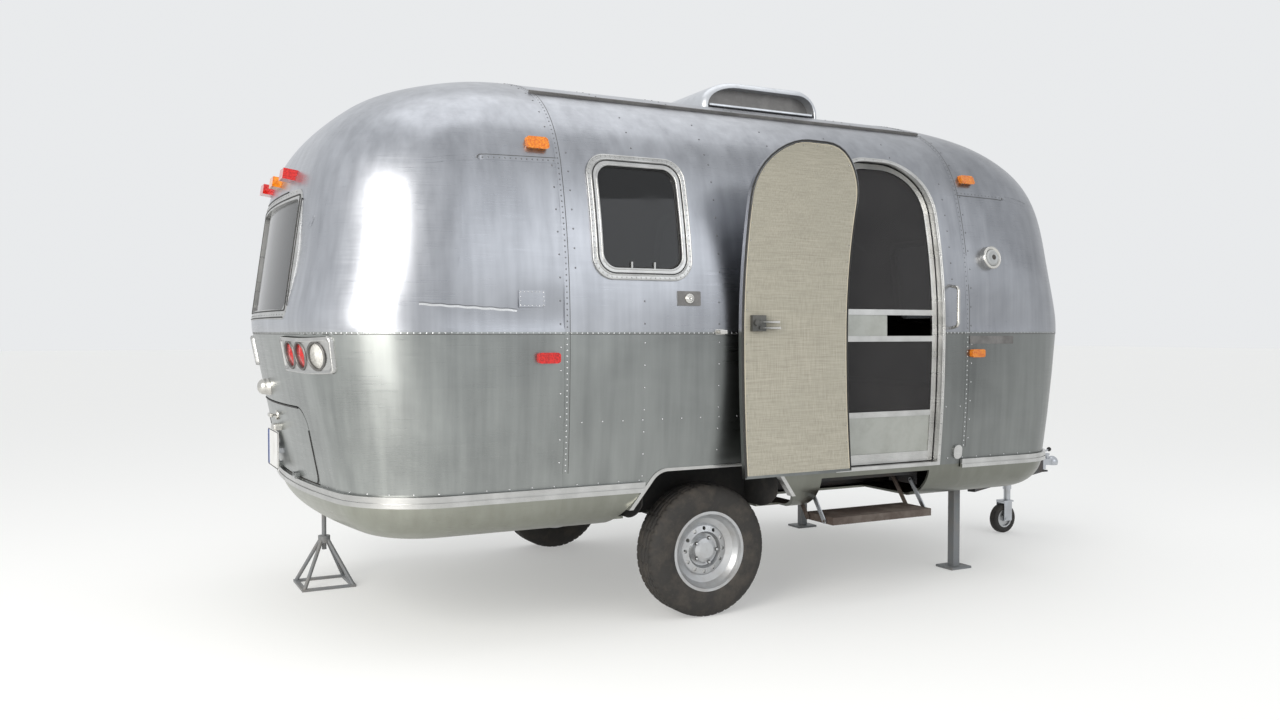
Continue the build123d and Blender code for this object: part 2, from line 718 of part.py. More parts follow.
def build_side_fittings():
    """Lock plate, riveted patch, blank name bar, inlet cover and wall catch."""
    pads = [
        side_pad(666, 165, 132, 72, 4, 6),
        side_pad(-162, 152, 130, 78, 2, 3),
        side_pad(2692, -45, 340, 46, 5, 4),
        side_pad(2460, -688, 62, 80, 12, 28),
    ]
    return Compound(solids_of(*pads))


def build_porch_lamp():
    centre_z, x = 430.0, 2690.0
    disc = prism_y(round_face(x - 65, x + 65, centre_z - 65, centre_z + 65, 64.5), -1400, -600)
    return seated(side_band(-26, 4, x - 80, x + 80) & disc, x)


def build_grab_handle():
    """Bow handle in front of the doorway, on two feet."""
    x, z0, z1, out, radius = 2372.0, 22.0, 262.0, 66.0, 9.0
    y0 = -HALF_WIDTH + side_inset(z0) - SKIN_GAP
    y1 = -HALF_WIDTH + side_inset(z1) - SKIN_GAP
    path = Wire(FilletPolyline((x, y0, z0), (x, y0 - out, z0 + 12), (x, y0 - out, z1 - 12),
                               (x, y1, z1), radius=30).edges())
    start = Plane(origin=path @ 0, z_dir=path % 0)
    handle = sweep((start * Circle(radius)).face(), path=path)
    skin = side_band(-SKIN_GAP, 60, x - 100, x + 100)
    return (handle - skin).solids().sort_by(SortBy.VOLUME)[-1]


# Doors

def hinge_origin():
    return (DOOR_X0 - 11, -HALF_WIDTH - HINGE_OUT)


def opened(shape):
    """The entry door as it rests, swung back against the side."""
    x, y = hinge_origin()
    return Pos(x, y, 0) * Rot(Z=-DOOR_OPEN) * Pos(-x, -y, 0) * shape


def build_door():
    """The entry leaf and its inner liner, with the leaf's half of the hinge."""
    outline = leaf_prism(LEAF_GAP, -1400, -900)
    leaf = side_band(0, LEAF_THICK, DOOR_X0 - 50, DOOR_X1 + 50) & outline
    face = leaf_prism(LEAF_GAP + 14, -1400, -900)
    liner = side_band(LEAF_THICK + SKIN_GAP, LEAF_THICK + SKIN_GAP + LINER_THICK,
                      DOOR_X0, DOOR_X1) & face
    hx, hy = hinge_origin()
    seat = side_band(-SKIN_GAP - 30, LEAF_THICK / 2, DOOR_X0, DOOR_X1)
    for z0, z1, on_leaf in door_knuckles():
        if on_leaf:
            plate = block(hx, hx + 56, hy - 2, hy + 3, z0, z1)
            plate += block(hx + 30, hx + 56, hy, -HALF_WIDTH + 12, z0, z1) & seat
            knuckle = bar((hx, hy, z0), (hx, hy, z1), HINGE_KNUCKLE)
            leaf += plate + knuckle
    leaf -= bar((hx, hy, HINGE_Z[0] - 5), (hx, hy, HINGE_Z[1] + 5), HINGE_PIN + RUNNING_GAP)
    return opened(leaf), opened(liner)


def door_knuckles():
    """Hinge knuckles of the entry door from the bottom up: z0, z1, whether on the leaf."""
    count = 7
    pitch = (HINGE_Z[1] - HINGE_Z[0]) / count
    return [(HINGE_Z[0] + i * pitch + 0.4, HINGE_Z[0] + (i + 1) * pitch - 0.4, i % 2 == 1)
            for i in range(count)]


def hatch_axis():
    """Hinge line of the rear hatch: x and z."""
    rise = HATCH_FOOT_Z - RAIL_Z
    lean = CAP_LEVELS[0][1] / -RAIL_Z
    return -REAR_REACH + CAP_LEVELS[0][1] - rise * lean - 14, HATCH_FOOT_Z - 3


def build_hinges():
    """The knuckles, plates and pins that stay on the body, for all three doors."""
    hx, hy = hinge_origin()
    pieces = bar((hx, hy, HINGE_Z[0]), (hx, hy, HINGE_Z[1]), HINGE_PIN)
    for z0, z1, on_leaf in door_knuckles():
        if not on_leaf:
            pieces += bar((hx, hy, z0), (hx, hy, z1), HINGE_KNUCKLE)
            foot = block(hx - 9, hx + 9, hy, -HALF_WIDTH + 2, z0, z1)
            pieces += foot & side_band(-40, -FRAME_PROUD - SKIN_GAP, DOOR_X0 - 60, DOOR_X1)
    hinges = solids_of(pieces)
    sx, sy = screen_axis()
    for z in SCREEN_HINGE_Z:
        jamb = block(DOOR_X0 + SKIN_GAP, sx, sy - 4, sy + 4, z - 9, z + 9)
        hinge = jamb + bar((sx, sy, z - 9), (sx, sy, z + 9), SCREEN_KNUCKLE)
        hinge += bar((sx, sy, z - 29), (sx, sy, z + 29), SCREEN_PIN)
        hinges += solids_of(hinge)
    ax, az = hatch_axis()
    for y in (-HATCH_HINGE_Y, HATCH_HINGE_Y):
        knuckle = bar((ax, y - 14, az), (ax, y + 14, az), 7)
        knuckle += bar((ax, y - 40, az), (ax, y + 40, az), 3)
        knuckle += block(ax, ax + 30, y - 14, y + 14, az - 7, az - 3)
        knuckle = knuckle - end_skin(-1)
        hinges.append(Pos(-SKIN_GAP, 0, 0) * knuckle.solids().sort_by(SortBy.VOLUME)[-1])
    return Compound(hinges)


def screen_axis():
    """Hinge line of the screen door: x and y."""
    return DOOR_X0 + 17, -HALF_WIDTH + SCREEN_OUTER + SCREEN_THICK / 2


def build_door_lock():
    """Lock case on the liner with its knob and two levers, and the outside handle."""
    x = DOOR_X1 - 96
    inner = -HALF_WIDTH + side_inset(86) + LEAF_THICK + LINER_THICK + 2 * SKIN_GAP
    case = block(x - 42, x + 42, inner, inner + 20, 4, 84)
    knob = bar((x + 18, inner + 20, 46), (x + 18, inner + 30, 46), 15)
    upper = tube_of((x - 8, inner + 24, 50), (x - 122, inner + 24, 50), 5, 12)
    lower = tube_of((x - 8, inner + 24, 20), (x - 128, inner + 24, 20), 5, 12)
    studs = bar((x - 5, inner + 20, 50), (x - 5, inner + 28, 50), 8)
    studs += bar((x - 5, inner + 20, 20), (x - 5, inner + 28, 20), 8)
    return opened(case + knob + upper + lower + studs)


def build_screen_door():
    depth = (SCREEN_OUTER, SCREEN_OUTER + SCREEN_THICK)
    slab = side_band(*depth, DOOR_X0 - 50, DOOR_X1 + 50) & leaf_prism(LEAF_GAP, -1400, -900)
    hole = leaf_prism(LEAF_GAP + SCREEN_STILE, -1401, -899)
    bars = [block(DOOR_X0 - 50, DOOR_X1 + 50, -1400, -900, z - SCREEN_BAR, z)
            for z in SCREEN_BAR_Z]
    bars.append(block(DOOR_X0 - 50, DOOR_X1 + 50, -1400, -900, RAIL_Z, RAIL_Z + DOOR_SILL + 62))
    sx, sy = screen_axis()
    opening = hole
    for piece in bars:
        opening -= piece
    frame = slab - opening
    for z in SCREEN_HINGE_Z:
        frame -= block(DOOR_X0, sx + 10, -1400, -900, z - 10, z + 10)
        for low in (z - 28, z + 10):
            frame += bar((sx, sy, low), (sx, sy, low + 18), SCREEN_KNUCKLE)
        frame -= bar((sx, sy, z - 40), (sx, sy, z + 40), SCREEN_PIN + RUNNING_GAP)
    middle = SCREEN_OUTER + SCREEN_THICK / 2
    sheet = side_band(middle - 1, middle + 1, DOOR_X0 - 50, DOOR_X1 + 50)
    spaces = leaf_prism(LEAF_GAP + SCREEN_STILE + SKIN_GAP, -1401, -899)
    for piece in bars:
        spaces -= piece
    panels = (sheet & spaces).solids().sort_by(Axis.Z)
    mesh = [panels[1], panels[-1]]
    solid_panels = [panels[0]]
    slider = panels[2] & block(DOOR_X0, DOOR_X0 + 330, -1400, -900, -400, 400)
    solid_panels += slider.solids()
    return frame, Compound(mesh), Compound(solid_panels)


def hatch_prism(grow):
    """Prism through the hatch in the lower rear panel."""
    face = arch_top_face(-HATCH_HALF - grow, HATCH_HALF + grow, HATCH_FOOT_Z - grow,
                         HATCH_TOP_Z + grow, 110 + grow)
    solid = Pos(0, -260, 0) * extrude(face, 520, dir=(0, 1, 0))
    return Pos(-REAR_REACH + 60, 0, 0) * (Rot(Z=90) * solid)


def build_hatch():
    """The drop-down door in the lower rear panel, with its half of the hinges."""
    hatch = (end_skin(-1) - cap_solid(1.0, HATCH_THICK, 0.0, -1)) & hatch_prism(0)
    ax, az = hatch_axis()
    for y in (-HATCH_HINGE_Y, HATCH_HINGE_Y):
        for y0 in (y - 36, y + 15):
            hatch += bar((ax, y0, az), (ax, y0 + 21, az), 7)
            hatch += block(ax - 4, ax + 20, y0, y0 + 21, az + 4, az + 22)
        hatch -= bar((ax, y - 50, az), (ax, y + 50, az), 3 + RUNNING_GAP)
    return hatch


# Running gear

def build_axle():
    beam_x, beam_z = AXLE_X + 190, AXLE_Z + 66
    well = WELL_INNER_Y
    pieces = block(beam_x - 35, beam_x + 35, -well + 20, well - 20, beam_z - 35, beam_z + 35)
    for side in (-1, 1):
        arm_y = side * (TYRE_OUTER_Y - TYRE_WIDTH - 42)
        stub_y = side * (TYRE_OUTER_Y - 92)
        pieces += bar((beam_x, side * (well - 30), beam_z), (beam_x, arm_y, beam_z), 32)
        arm = tube_of((beam_x, arm_y, 0), (AXLE_X, arm_y, 0), 26, 54)
        turn = degrees(atan2(beam_z - AXLE_Z, beam_x - AXLE_X))
        pieces += Pos(AXLE_X, 0, AXLE_Z) * Rot(Y=-turn) * Pos(-AXLE_X, 0, 0) * arm
        pieces += bar((AXLE_X, arm_y - side * 13, AXLE_Z), (AXLE_X, arm_y + side * 15, AXLE_Z), 45)
        pieces += bar((AXLE_X, arm_y, AXLE_Z), (AXLE_X, stub_y, AXLE_Z), SPINDLE_RADIUS)
        bracket_y = side * (well - 120)
        pieces += block(beam_x - 60, beam_x + 60, bracket_y - 6, bracket_y + 6,
                        beam_z - 30, BELLY_Z - SKIN_GAP)
        pieces += block(beam_x - 70, beam_x + 70, bracket_y - 45, bracket_y + 45,
                        BELLY_Z - 8, BELLY_Z - SKIN_GAP)
    return pieces


def wheel_plane(side):
    """Plane at the tyre's outer face, its z_dir pointing outward."""
    return Plane(origin=(AXLE_X, side * TYRE_OUTER_Y, AXLE_Z), x_dir=(1, 0, 0), z_dir=(0, side, 0))


def build_wheel(side):
    """Tyre and rim of one wheel; half profiles of radius and depth, turned about the axle."""
    width, shoulder, bead = TYRE_WIDTH, 30.0, 22.0
    outer, bulge = TYRE_RADIUS, TYRE_RADIUS - 62
    tyre_points = [(RIM_RADIUS, -bead), (bulge, 0), (outer, -shoulder),
                   (outer, -width + shoulder), (bulge, -width), (RIM_RADIUS, -width + bead)]
    lip = RIM_RADIUS - SKIN_GAP
    rim_points = [(lip + 12, -bead + 10), (lip + 12, -bead + 5), (lip, -bead + 1),
                  (lip, -width + bead - 1), (lip + 12, -width + bead - 5),
                  (lip + 12, -width + bead - 10), (lip - 8, -width + bead - 10),
                  (lip - 22, -width + bead + 20), (lip - 22, -100), (lip - 48, -88),
                  (lip - 70, -70), (95, -62), (84, -80), (HUB_RADIUS + 4, -84),
                  (HUB_RADIUS + 4, -52), (40, -40), (0, -38), (0, -60), (28, -70),
                  (SPINDLE_RADIUS + RUNNING_GAP, -76), (SPINDLE_RADIUS + RUNNING_GAP, -170),
                  (HUB_RADIUS, -170), (HUB_RADIUS, -96), (88, -90), (100, -72), (lip - 66, -80),
                  (lip - 30, -56), (lip - 12, -30), (lip - 4, -bead + 10)]
    pieces = []
    for points in (tyre_points, rim_points):
        outline = Polyline([(r, 0, z) for r, z in points], close=True)
        face = Face(Wire(outline.edges()))
        pieces.append(revolve(face, Axis.Z, 360))
    tyre, rim = pieces
    for i in range(12):
        hole = Rot(Z=i * 30) * Pos(112, 0, -70) * Cylinder(10, 60)
        rim -= hole
    plane = wheel_plane(side)
    return plane * tyre, plane * rim


def build_chassis():
    top, low = RAIL_Z - FLOOR_THICK - SKIN_GAP, BELLY_Z + BELLY_SHEET + 6
    rear, front, rail_y = -640.0, 3130.0, 540.0
    frame = block(rear, front, rail_y - 25, rail_y + 25, low, top)
    frame += mirrored(frame)
    for x in (rear + 25, 150, AXLE_X + 190, 1700, 2500, front - 25):
        frame += block(x - 25, x + 25, -rail_y, rail_y, low, top)
    return frame


def build_drawbar():
    """Two channels that meet at the coupling, with a plate between them."""
    z = DRAWBAR_Z - DRAWBAR_HEIGHT / 2
    start_x, start_y, end_x, end_y = 3180.0, 560.0, COUPLING_X - 170, 40.0
    z_mid = BELLY_Z - SKIN_GAP - DRAWBAR_HEIGHT / 2
    frame = tube_of((start_x, start_y, z_mid), (end_x, end_y, z_mid), DRAWBAR_WIDTH, DRAWBAR_HEIGHT)
    frame += mirrored(frame)
    frame += block(JOCKEY_X - 70, JOCKEY_X + 40, -230, 230, z_mid - 40, z_mid - 25)
    frame += block(COUPLING_X - 300, COUPLING_X - 120, -70, 70, z_mid - 50, z_mid - 38)
    frame -= coupling_tail(SKIN_GAP)
    return frame - Pos(JOCKEY_X, -80, z_mid) * Cylinder(30 + SKIN_GAP, 300)


def coupling_tail(grow):
    z_mid = BELLY_Z - SKIN_GAP - DRAWBAR_HEIGHT / 2
    return block(COUPLING_X - 230 - grow, COUPLING_X - 100, -34 - grow, 34 + grow,
                 z_mid - 37 - grow, z_mid + 48 + grow)


def build_coupling():
    """Ball coupling head with its shank and its cup open below."""
    z_mid = BELLY_Z - SKIN_GAP - DRAWBAR_HEIGHT / 2
    z_ball = z_mid + 10
    head = Pos(COUPLING_X, 0, z_ball) * Sphere(46)
    head &= block(COUPLING_X - 60, COUPLING_X + 60, -60, 60, z_ball - BALL_SEAT_DEPTH, z_ball + 60)
    shank = block(COUPLING_X - 118, COUPLING_X - 20, -28, 28, z_ball - 18, z_ball + 30)
    head = head + shank + coupling_tail(0)
    head -= Pos(COUPLING_X, 0, z_ball) * Sphere(BALL_RADIUS)
    head -= Pos(COUPLING_X, 0, z_ball - BALL_SEAT_DEPTH / 2) * Cylinder(BALL_RADIUS, BALL_SEAT_DEPTH)
    head += tube_of((COUPLING_X - 40, 0, z_ball + 62), (COUPLING_X - 190, 0, z_ball + 62), 30, 14)
    head += block(COUPLING_X - 70, COUPLING_X - 46, -14, 14, z_ball + 20, z_ball + 60)
    return head


def jockey_axle():
    return (JOCKEY_X - JOCKEY_TRAIL, -80.0, GROUND_Z + JOCKEY_WHEEL_RADIUS)


def build_jockey():
    """Outer tube with its clamp, the stem with its fork, and the wheel."""
    x, y = JOCKEY_X, -80.0
    wheel_x, _, wheel_z = jockey_axle()
    z_mid = BELLY_Z - SKIN_GAP - DRAWBAR_HEIGHT / 2
    outer = Pos(x, y, z_mid + 60) * Cylinder(30, 420) - Pos(x, y, z_mid + 60) * Cylinder(24.5, 421)
    clamp = block(x - 45, x + 45, y - 45, y + 45, z_mid - 24.7, z_mid + 20)
    clamp -= Pos(x, y, z_mid) * Cylinder(30 - 0.1, 200)
    outer += clamp
    crown_z = wheel_z + JOCKEY_WHEEL_RADIUS + 22
    stem = bar((x, y, crown_z), (x, y, z_mid + 262), 24)
    stem += bar((x, y, z_mid + 262), (x, y, z_mid + 300), 12)
    stem += tube_of((x - 6, y, z_mid + 300), (x + 96, y, z_mid + 300), 14, 14)
    stem += bar((x + 88, y, z_mid + 300), (x + 88, y, z_mid + 370), 12)
    half = JOCKEY_WHEEL_WIDTH / 2 + 6
    stem += block(wheel_x - 22, x + 26, y - half - 5, y + half + 5, crown_z - 8, crown_z + 4)
    for side in (-1, 1):
        plate_y = y + side * (half + 2.5)
        stem += block(wheel_x - 20, x + 10, plate_y - 2.5, plate_y + 2.5, wheel_z - 16, crown_z)
    stem += bar((wheel_x, y - half - 8, wheel_z), (wheel_x, y + half + 8, wheel_z), 9)
    middle = Plane(origin=(wheel_x, y, wheel_z), z_dir=(0, 1, 0))
    tyre = middle * Cylinder(JOCKEY_WHEEL_RADIUS, JOCKEY_WHEEL_WIDTH)
    tyre = chamfer(tyre.edges(), 12)
    tyre -= bar((wheel_x, y - 60, wheel_z), (wheel_x, y + 60, wheel_z), 9 + RUNNING_GAP)
    return outer, stem, tyre


def build_rear_stand():
    """Four-legged screw stand under the rear of the frame."""
    x, y = REAR_STAND
    base, height = 150.0, 265.0
    top_z = GROUND_Z + height
    legs = None
    foot = block(x - base, x + base, y - base, y + base, GROUND_Z, GROUND_Z + 14)
    foot -= block(x - base + 26, x + base - 26, y - base + 26, y + base - 26,
                  GROUND_Z - 1, GROUND_Z + 20)
    legs = foot
    for sx in (-1, 1):
        for sy in (-1, 1):
            legs += bar((x + sx * (base - 13), y + sy * (base - 13), GROUND_Z + 7),
                        (x + sx * 16, y + sy * 16, top_z), 11)
    legs += Pos(x, y, top_z) * Cylinder(34, 40)
    rod = bar((x, y, top_z - 60), (x, y, BELLY_Z - 8), 13)
    rod += Pos(x, y, BELLY_Z - 7) * Cylinder(34, 14)
    rod &= block(x - 60, x + 60, y - 60, y + 60, GROUND_Z, BELLY_Z - SKIN_GAP)
    return legs + rod


def build_front_stands():
    stands = []
    for side in (-1, 1):
        x, y = FRONT_STAND_X, side * FRONT_STAND_Y
        post = block(x - 25, x + 25, y - 25, y + 25, GROUND_Z + 12, BELLY_Z - SKIN_GAP)
        plate = block(x - 80, x + 80, y - 70, y + 70, GROUND_Z, GROUND_Z + 14)
        pad = block(x - 60, x + 60, y - 50, y + 50, BELLY_Z - 10, BELLY_Z - SKIN_GAP)
        stands += solids_of(post + plate + pad)
    return Compound(stands)


def step_points():
    """Pivots of the folding step on the YZ plane: fixed and moving, outer and inner."""
    outer = (STEP_PIVOT_Y, STEP_PIVOT_Z)
    inner = (STEP_PIVOT_Y + STEP_PIVOT_SPACING, STEP_PIVOT_Z)
    drop = (-STEP_LINK_OUT, -STEP_LINK_DROP)
    return outer, inner, drop


def build_step():
    """Hanger, outer links, tread and inner links of the folding step."""
    outer, inner, drop = step_points()
    x0, x1 = STEP_X0 - 34, STEP_X1 + 34
    top = RAIL_Z - FLOOR_THICK - SKIN_GAP
    hanger = block(x0, x1, STEP_PIVOT_Y - 40, STEP_PIVOT_Y - 10, top - 40, top)
    for x in (x0, x1 - 6):
        hanger += block(x, x + 6, STEP_PIVOT_Y - 40, inner[0] + 45, STEP_PIVOT_Z - 26, top)
    hanger += block(x0, x1, inner[0] + 36, inner[0] + 45, top - 60, top)
    pins, links = [], {"outer": [], "inner": []}
    for name, (y, z) in (("outer", outer), ("inner", inner)):
        for x_link, direction in ((x0 + 14, 1), (x1 - 14, -1)):
            low = (x_link, y + drop[0], z + drop[1])
            run = hypot(*drop)
            arm = Box(7, run, 26)
            turn = degrees(atan2(drop[1], drop[0]))
            middle = (x_link, y + drop[0] / 2, z + drop[1] / 2)
            link = Pos(*middle) * Rot(X=turn) * arm
            link += bar((x_link - 3.5, y, z), (x_link + 3.5, y, z), 13)
            link += bar((x_link - 3.5, low[1], low[2]), (x_link + 3.5, low[1], low[2]), 13)
            link -= bar((x_link - 40, y, z), (x_link + 40, y, z), 6 + RUNNING_GAP)
            link -= bar((x_link - 40, low[1], low[2]), (x_link + 40, low[1], low[2]),
                        6 + RUNNING_GAP + (0.7 if name == "inner" else 0))
            links[name] += solids_of(link)
            pins.append((x_link, y, z, direction))
    for x_link, y, z, direction in pins:
        end = x_link - direction * 12
        hanger += bar((x_link + direction * 6, y, z), (end, y, z), 6)
    tread_y1 = inner[0] + drop[0] + 30
    tread_y0 = outer[0] + drop[0] - 60
    tread = block(x0 + 26, x1 - 26, tread_y0, tread_y1, STEP_TREAD_Z - STEP_TREAD_THICK, STEP_TREAD_Z)
    for name, (y, z) in (("outer", outer), ("inner", inner)):
        for x_link, direction in ((x0 + 14, 1), (x1 - 14, -1)):
            tread += bar((x_link - direction * 6, y + drop[0], z + drop[1]),
                         (x_link + direction * 14, y + drop[0], z + drop[1]), 6)
    return hanger, Compound(links["outer"]), tread, Compound(links["inner"])


def write(name, shape):
    placed = shape.moved(TO_ORIGIN)
    solids = placed.solids()
    export_step(solids[0] if len(solids) == 1 else Compound(solids), f"parts/{name}.step")


def main():
    os.makedirs("parts", exist_ok=True)
    right, left = build_side_walls()
    write("wall_right", right)
    write("wall_left", left)
    write("roof", roof_band(0, WALL, 0, FRONT_SEAM_X))
    for facing, word in ((-1, "rear"), (1, "front")):
        lower, upper = build_end(facing)
        write(f"end_{word}_lower", lower)
        write(f"end_{word}_upper", upper)
    pan, sides, ends = build_belly()
    write("belly_pan", pan)
    write("belly_sides", sides)
    write("belly_ends", ends)
    write("floor", build_floor())
    write("wheel_wells", build_wells())
    write("door_frame", build_door_frame())
    frames, panes = build_side_windows()
    write("side_window_frames", frames)
    write("side_window_panes", panes)
    frames, panes = build_end_windows()
    write("end_window_frames", frames)
    write("end_window_panes", panes)
    write("rub_rail", build_rub_rail())
    write("arch_trims", build_arch_trim())
    write("gutters", build_gutters())
    write("roof_vent", build_vent_hood())
    bezels, red, white = build_tail_lamps()
    write("tail_lamp_bezels", bezels)
    write("tail_lenses_red", red)
    write("tail_lenses_white", white)
    amber, red = build_marker_lamps()
    write("marker_lamps_amber", amber)
    write("marker_lamps_red", red)
    write("side_fittings", build_side_fittings())
    write("porch_lamp", build_porch_lamp())
    write("grab_handle", build_grab_handle())
    leaf, liner = build_door()
    write("door_leaf", leaf)
    write("door_liner", liner)
    write("door_lock", build_door_lock())
    frame, mesh, panels = build_screen_door()
    write("screen_frame", frame)
    write("screen_mesh", mesh)
    write("screen_panels", panels)
    write("hinges", build_hinges())
    write("rear_hatch", build_hatch())
    write("axle", build_axle())
    write("chassis", build_chassis())
    write("drawbar", build_drawbar())
    write("coupling", build_coupling())
    for side, word in ((-1, "right"), (1, "left")):
        tyre, rim = build_wheel(side)
        write(f"tyre_{word}", tyre)
        write(f"rim_{word}", rim)
    outer, stem, tyre = build_jockey()
    write("jockey_tube", outer)
    write("jockey_stem", stem)
    write("jockey_wheel", tyre)
    write("rear_stand", build_rear_stand())
    write("front_stands", build_front_stands())
    hanger, outer_links, tread, inner_links = build_step()
    write("step_hanger", hanger)
    write("step_links_outer", outer_links)
    write("step_tread", tread)
    write("step_links_inner", inner_links)


main()
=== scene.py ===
"""Looks of a riveted aluminium travel caravan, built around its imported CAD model.

Lengths are metres in the row frame. Places on the body are given in the body's own
millimetres: x forward from the rear seam, y left from the centreline, z up from the belt.
"""
import json
from math import cos, hypot, inf, pi, radians, sin

import bmesh
import bpy
from mathutils import Euler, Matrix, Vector
from mathutils.bvhtree import BVHTree


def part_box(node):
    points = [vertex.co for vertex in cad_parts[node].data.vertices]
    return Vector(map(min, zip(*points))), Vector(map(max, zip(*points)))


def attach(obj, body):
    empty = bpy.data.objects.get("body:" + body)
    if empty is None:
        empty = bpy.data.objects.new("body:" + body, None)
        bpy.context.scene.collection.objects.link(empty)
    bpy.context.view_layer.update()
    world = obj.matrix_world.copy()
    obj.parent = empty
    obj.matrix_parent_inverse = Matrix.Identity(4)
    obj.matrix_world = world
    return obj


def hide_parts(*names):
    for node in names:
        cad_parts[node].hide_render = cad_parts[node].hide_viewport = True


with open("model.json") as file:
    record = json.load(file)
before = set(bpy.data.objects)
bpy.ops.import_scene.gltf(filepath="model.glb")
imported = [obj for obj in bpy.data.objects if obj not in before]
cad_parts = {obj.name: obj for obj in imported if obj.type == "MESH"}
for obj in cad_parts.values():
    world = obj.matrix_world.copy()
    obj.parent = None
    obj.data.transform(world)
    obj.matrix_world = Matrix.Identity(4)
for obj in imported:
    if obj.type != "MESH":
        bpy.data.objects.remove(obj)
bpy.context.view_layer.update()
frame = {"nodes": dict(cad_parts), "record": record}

# Body lines, in the body's millimetres
BELT_OVER_RAIL = 757
RAIL_Z = -BELT_OVER_RAIL
ROOF_SEAM_Z = 795
SEAM_FRONT_X = 2520
HALF_WIDTH = 1200
# The front cap is a little shorter than the rear one
FRONT_CAP_SHARE = 0.924

# Entry door: sides and top of the opening, its hinge, and how far it rests open
DOOR_X = (1623, 2315)
DOOR_TOP = 955
DOOR_HINGE = (1612, -1218)
DOOR_OPEN = radians(-178)

# Side windows: side and middle of each, half their length, foot and top
WINDOWS = [(-1, 420), (1, 420), (1, 1969)]
WINDOW_HALF = 270
WINDOW_Z = (250, 860)

# Upper seam of the rear cap: x, inset from the side, height
CAP_SEAM = [(4, 115, 800), (-340, 120, 790), (-620, 155, 750), (-830, 350, 700),
            (-976, 444, 600), (-1070, 540, 440)]

# Tail lamp on the right: middle, turn and lean in degrees, lenses across it
TAIL_LAMP = (-1111, -736, -110)
TAIL_LAMP_TURN = 15.4
TAIL_LAMP_LEAN = 10.9
TAIL_LENSES = (-140, 10, 150)

# Middle of the left road wheel, in the body's millimetres
WHEEL_X, WHEEL_Y, WHEEL_Z = 850, 1105, -1125

# Rivet rows: metres between the rivets of a close row and of a wide one
CLOSE_PITCH = 0.027
WIDE_PITCH = 0.108

# Smooth shading stops at edges sharper than this
SHARP = radians(35)

# Camera, in the body's millimetres and degrees
CAMERA_PLACE = (-1974.8, -5752.3, 0.0)
CAMERA_TURN = (88.495, 0.0, -27.474)
CAMERA_LENS = 29.98

# Studio: strengths of the world on the object and as seen, and of the floor's own paleness
WORLD_LIGHT = 0.8
WORLD_SEEN = 0.84
FLOOR_GLOW = 0.33

right_low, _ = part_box("wall_right")
_, left_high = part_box("wall_left")
ORIGIN = Vector((right_low.x, (right_low.y + left_high.y) / 2,
                 right_low.z + BELT_OVER_RAIL / 1000))


def at(x, y, z):
    """A point of the body's own frame, in millimetres, as a point of the row frame."""
    return ORIGIN + Vector((x, y, z)) / 1000


# Node materials

class Paint:
    """A material under construction, with short calls for the nodes that repeat."""

    def __init__(self, name, **fixed):
        self.material = bpy.data.materials.new(name)
        self.material.use_nodes = True
        self.tree = self.material.node_tree
        self.bsdf = self.tree.nodes["Principled BSDF"]
        self.place = self.node("ShaderNodeTexCoord").outputs["Object"]
        for key, value in fixed.items():
            self.bsdf.inputs[key.replace("_", " ")].default_value = value

    def node(self, kind, **values):
        made = self.tree.nodes.new(kind)
        for key, value in values.items():
            setattr(made, key, value)
        return made

    def feed(self, socket, value):
        if isinstance(value, bpy.types.NodeSocket):
            self.tree.links.new(value, socket)
        else:
            socket.default_value = value

    def noise(self, scale, detail=4.0, roughness=0.55, distortion=0.0):
        """Noise from 0 to 1; scale is a number or one number for each axis."""
        stretch = scale if isinstance(scale, tuple) else (scale,) * 3
        mapping = self.node("ShaderNodeMapping")
        mapping.inputs["Scale"].default_value = stretch
        self.feed(mapping.inputs["Vector"], self.place)
        made = self.node("ShaderNodeTexNoise")
        made.inputs["Scale"].default_value = 1.0
        made.inputs["Detail"].default_value = detail
        made.inputs["Roughness"].default_value = roughness
        made.inputs["Distortion"].default_value = distortion
        self.feed(made.inputs["Vector"], mapping.outputs["Vector"])
        return made.outputs["Fac"]

    def axis(self, name):
        split = self.node("ShaderNodeSeparateXYZ")
        self.feed(split.inputs[0], self.place)
        return split.outputs[name]

    def math(self, operation, a, b=0.0, c=0.0):
        made = self.node("ShaderNodeMath", operation=operation)
        for socket, value in zip(made.inputs, (a, b, c)):
            self.feed(socket, value)
        return made.outputs[0]

    def levels(self, value, low, high, to_low=0.0, to_high=1.0):
        made = self.node("ShaderNodeMapRange")
        for socket, number in zip(made.inputs, (value, low, high, to_low, to_high)):
            self.feed(socket, number)
        return made.outputs["Result"]

    def mix(self, share, a, b, blend="MIX"):
        made = self.node("ShaderNodeMix", data_type="RGBA", blend_type=blend, clamp_factor=False)
        for socket, value in ((made.inputs[0], share), (made.inputs[6], a), (made.inputs[7], b)):
            if isinstance(value, tuple) and len(value) == 3:
                value = (*value, 1.0)
            self.feed(socket, value)
        return made.outputs[2]

    def times(self, color, number):
        """The colour times a number, which may be more than 1."""
        return self.mix(1.0, color, self.mix(number, (0, 0, 0), (1, 1, 1)), "MULTIPLY")

    def bump(self, height, distance, strength=1.0, under=None):
        made = self.node("ShaderNodeBump")
        made.inputs["Strength"].default_value = strength
        made.inputs["Distance"].default_value = distance
        self.feed(made.inputs["Height"], height)
        if under is not None:
            self.feed(made.inputs["Normal"], under)
        return made.outputs["Normal"]

    def finish(self, color=None, roughness=None, normal=None, **others):
        sockets = {"Base Color": color, "Roughness": roughness, "Normal": normal}
        sockets.update({key.replace("_", " "): value for key, value in others.items()})
        for key, value in sockets.items():
            if value is not None:
                self.feed(self.bsdf.inputs[key], value)
        return self.material


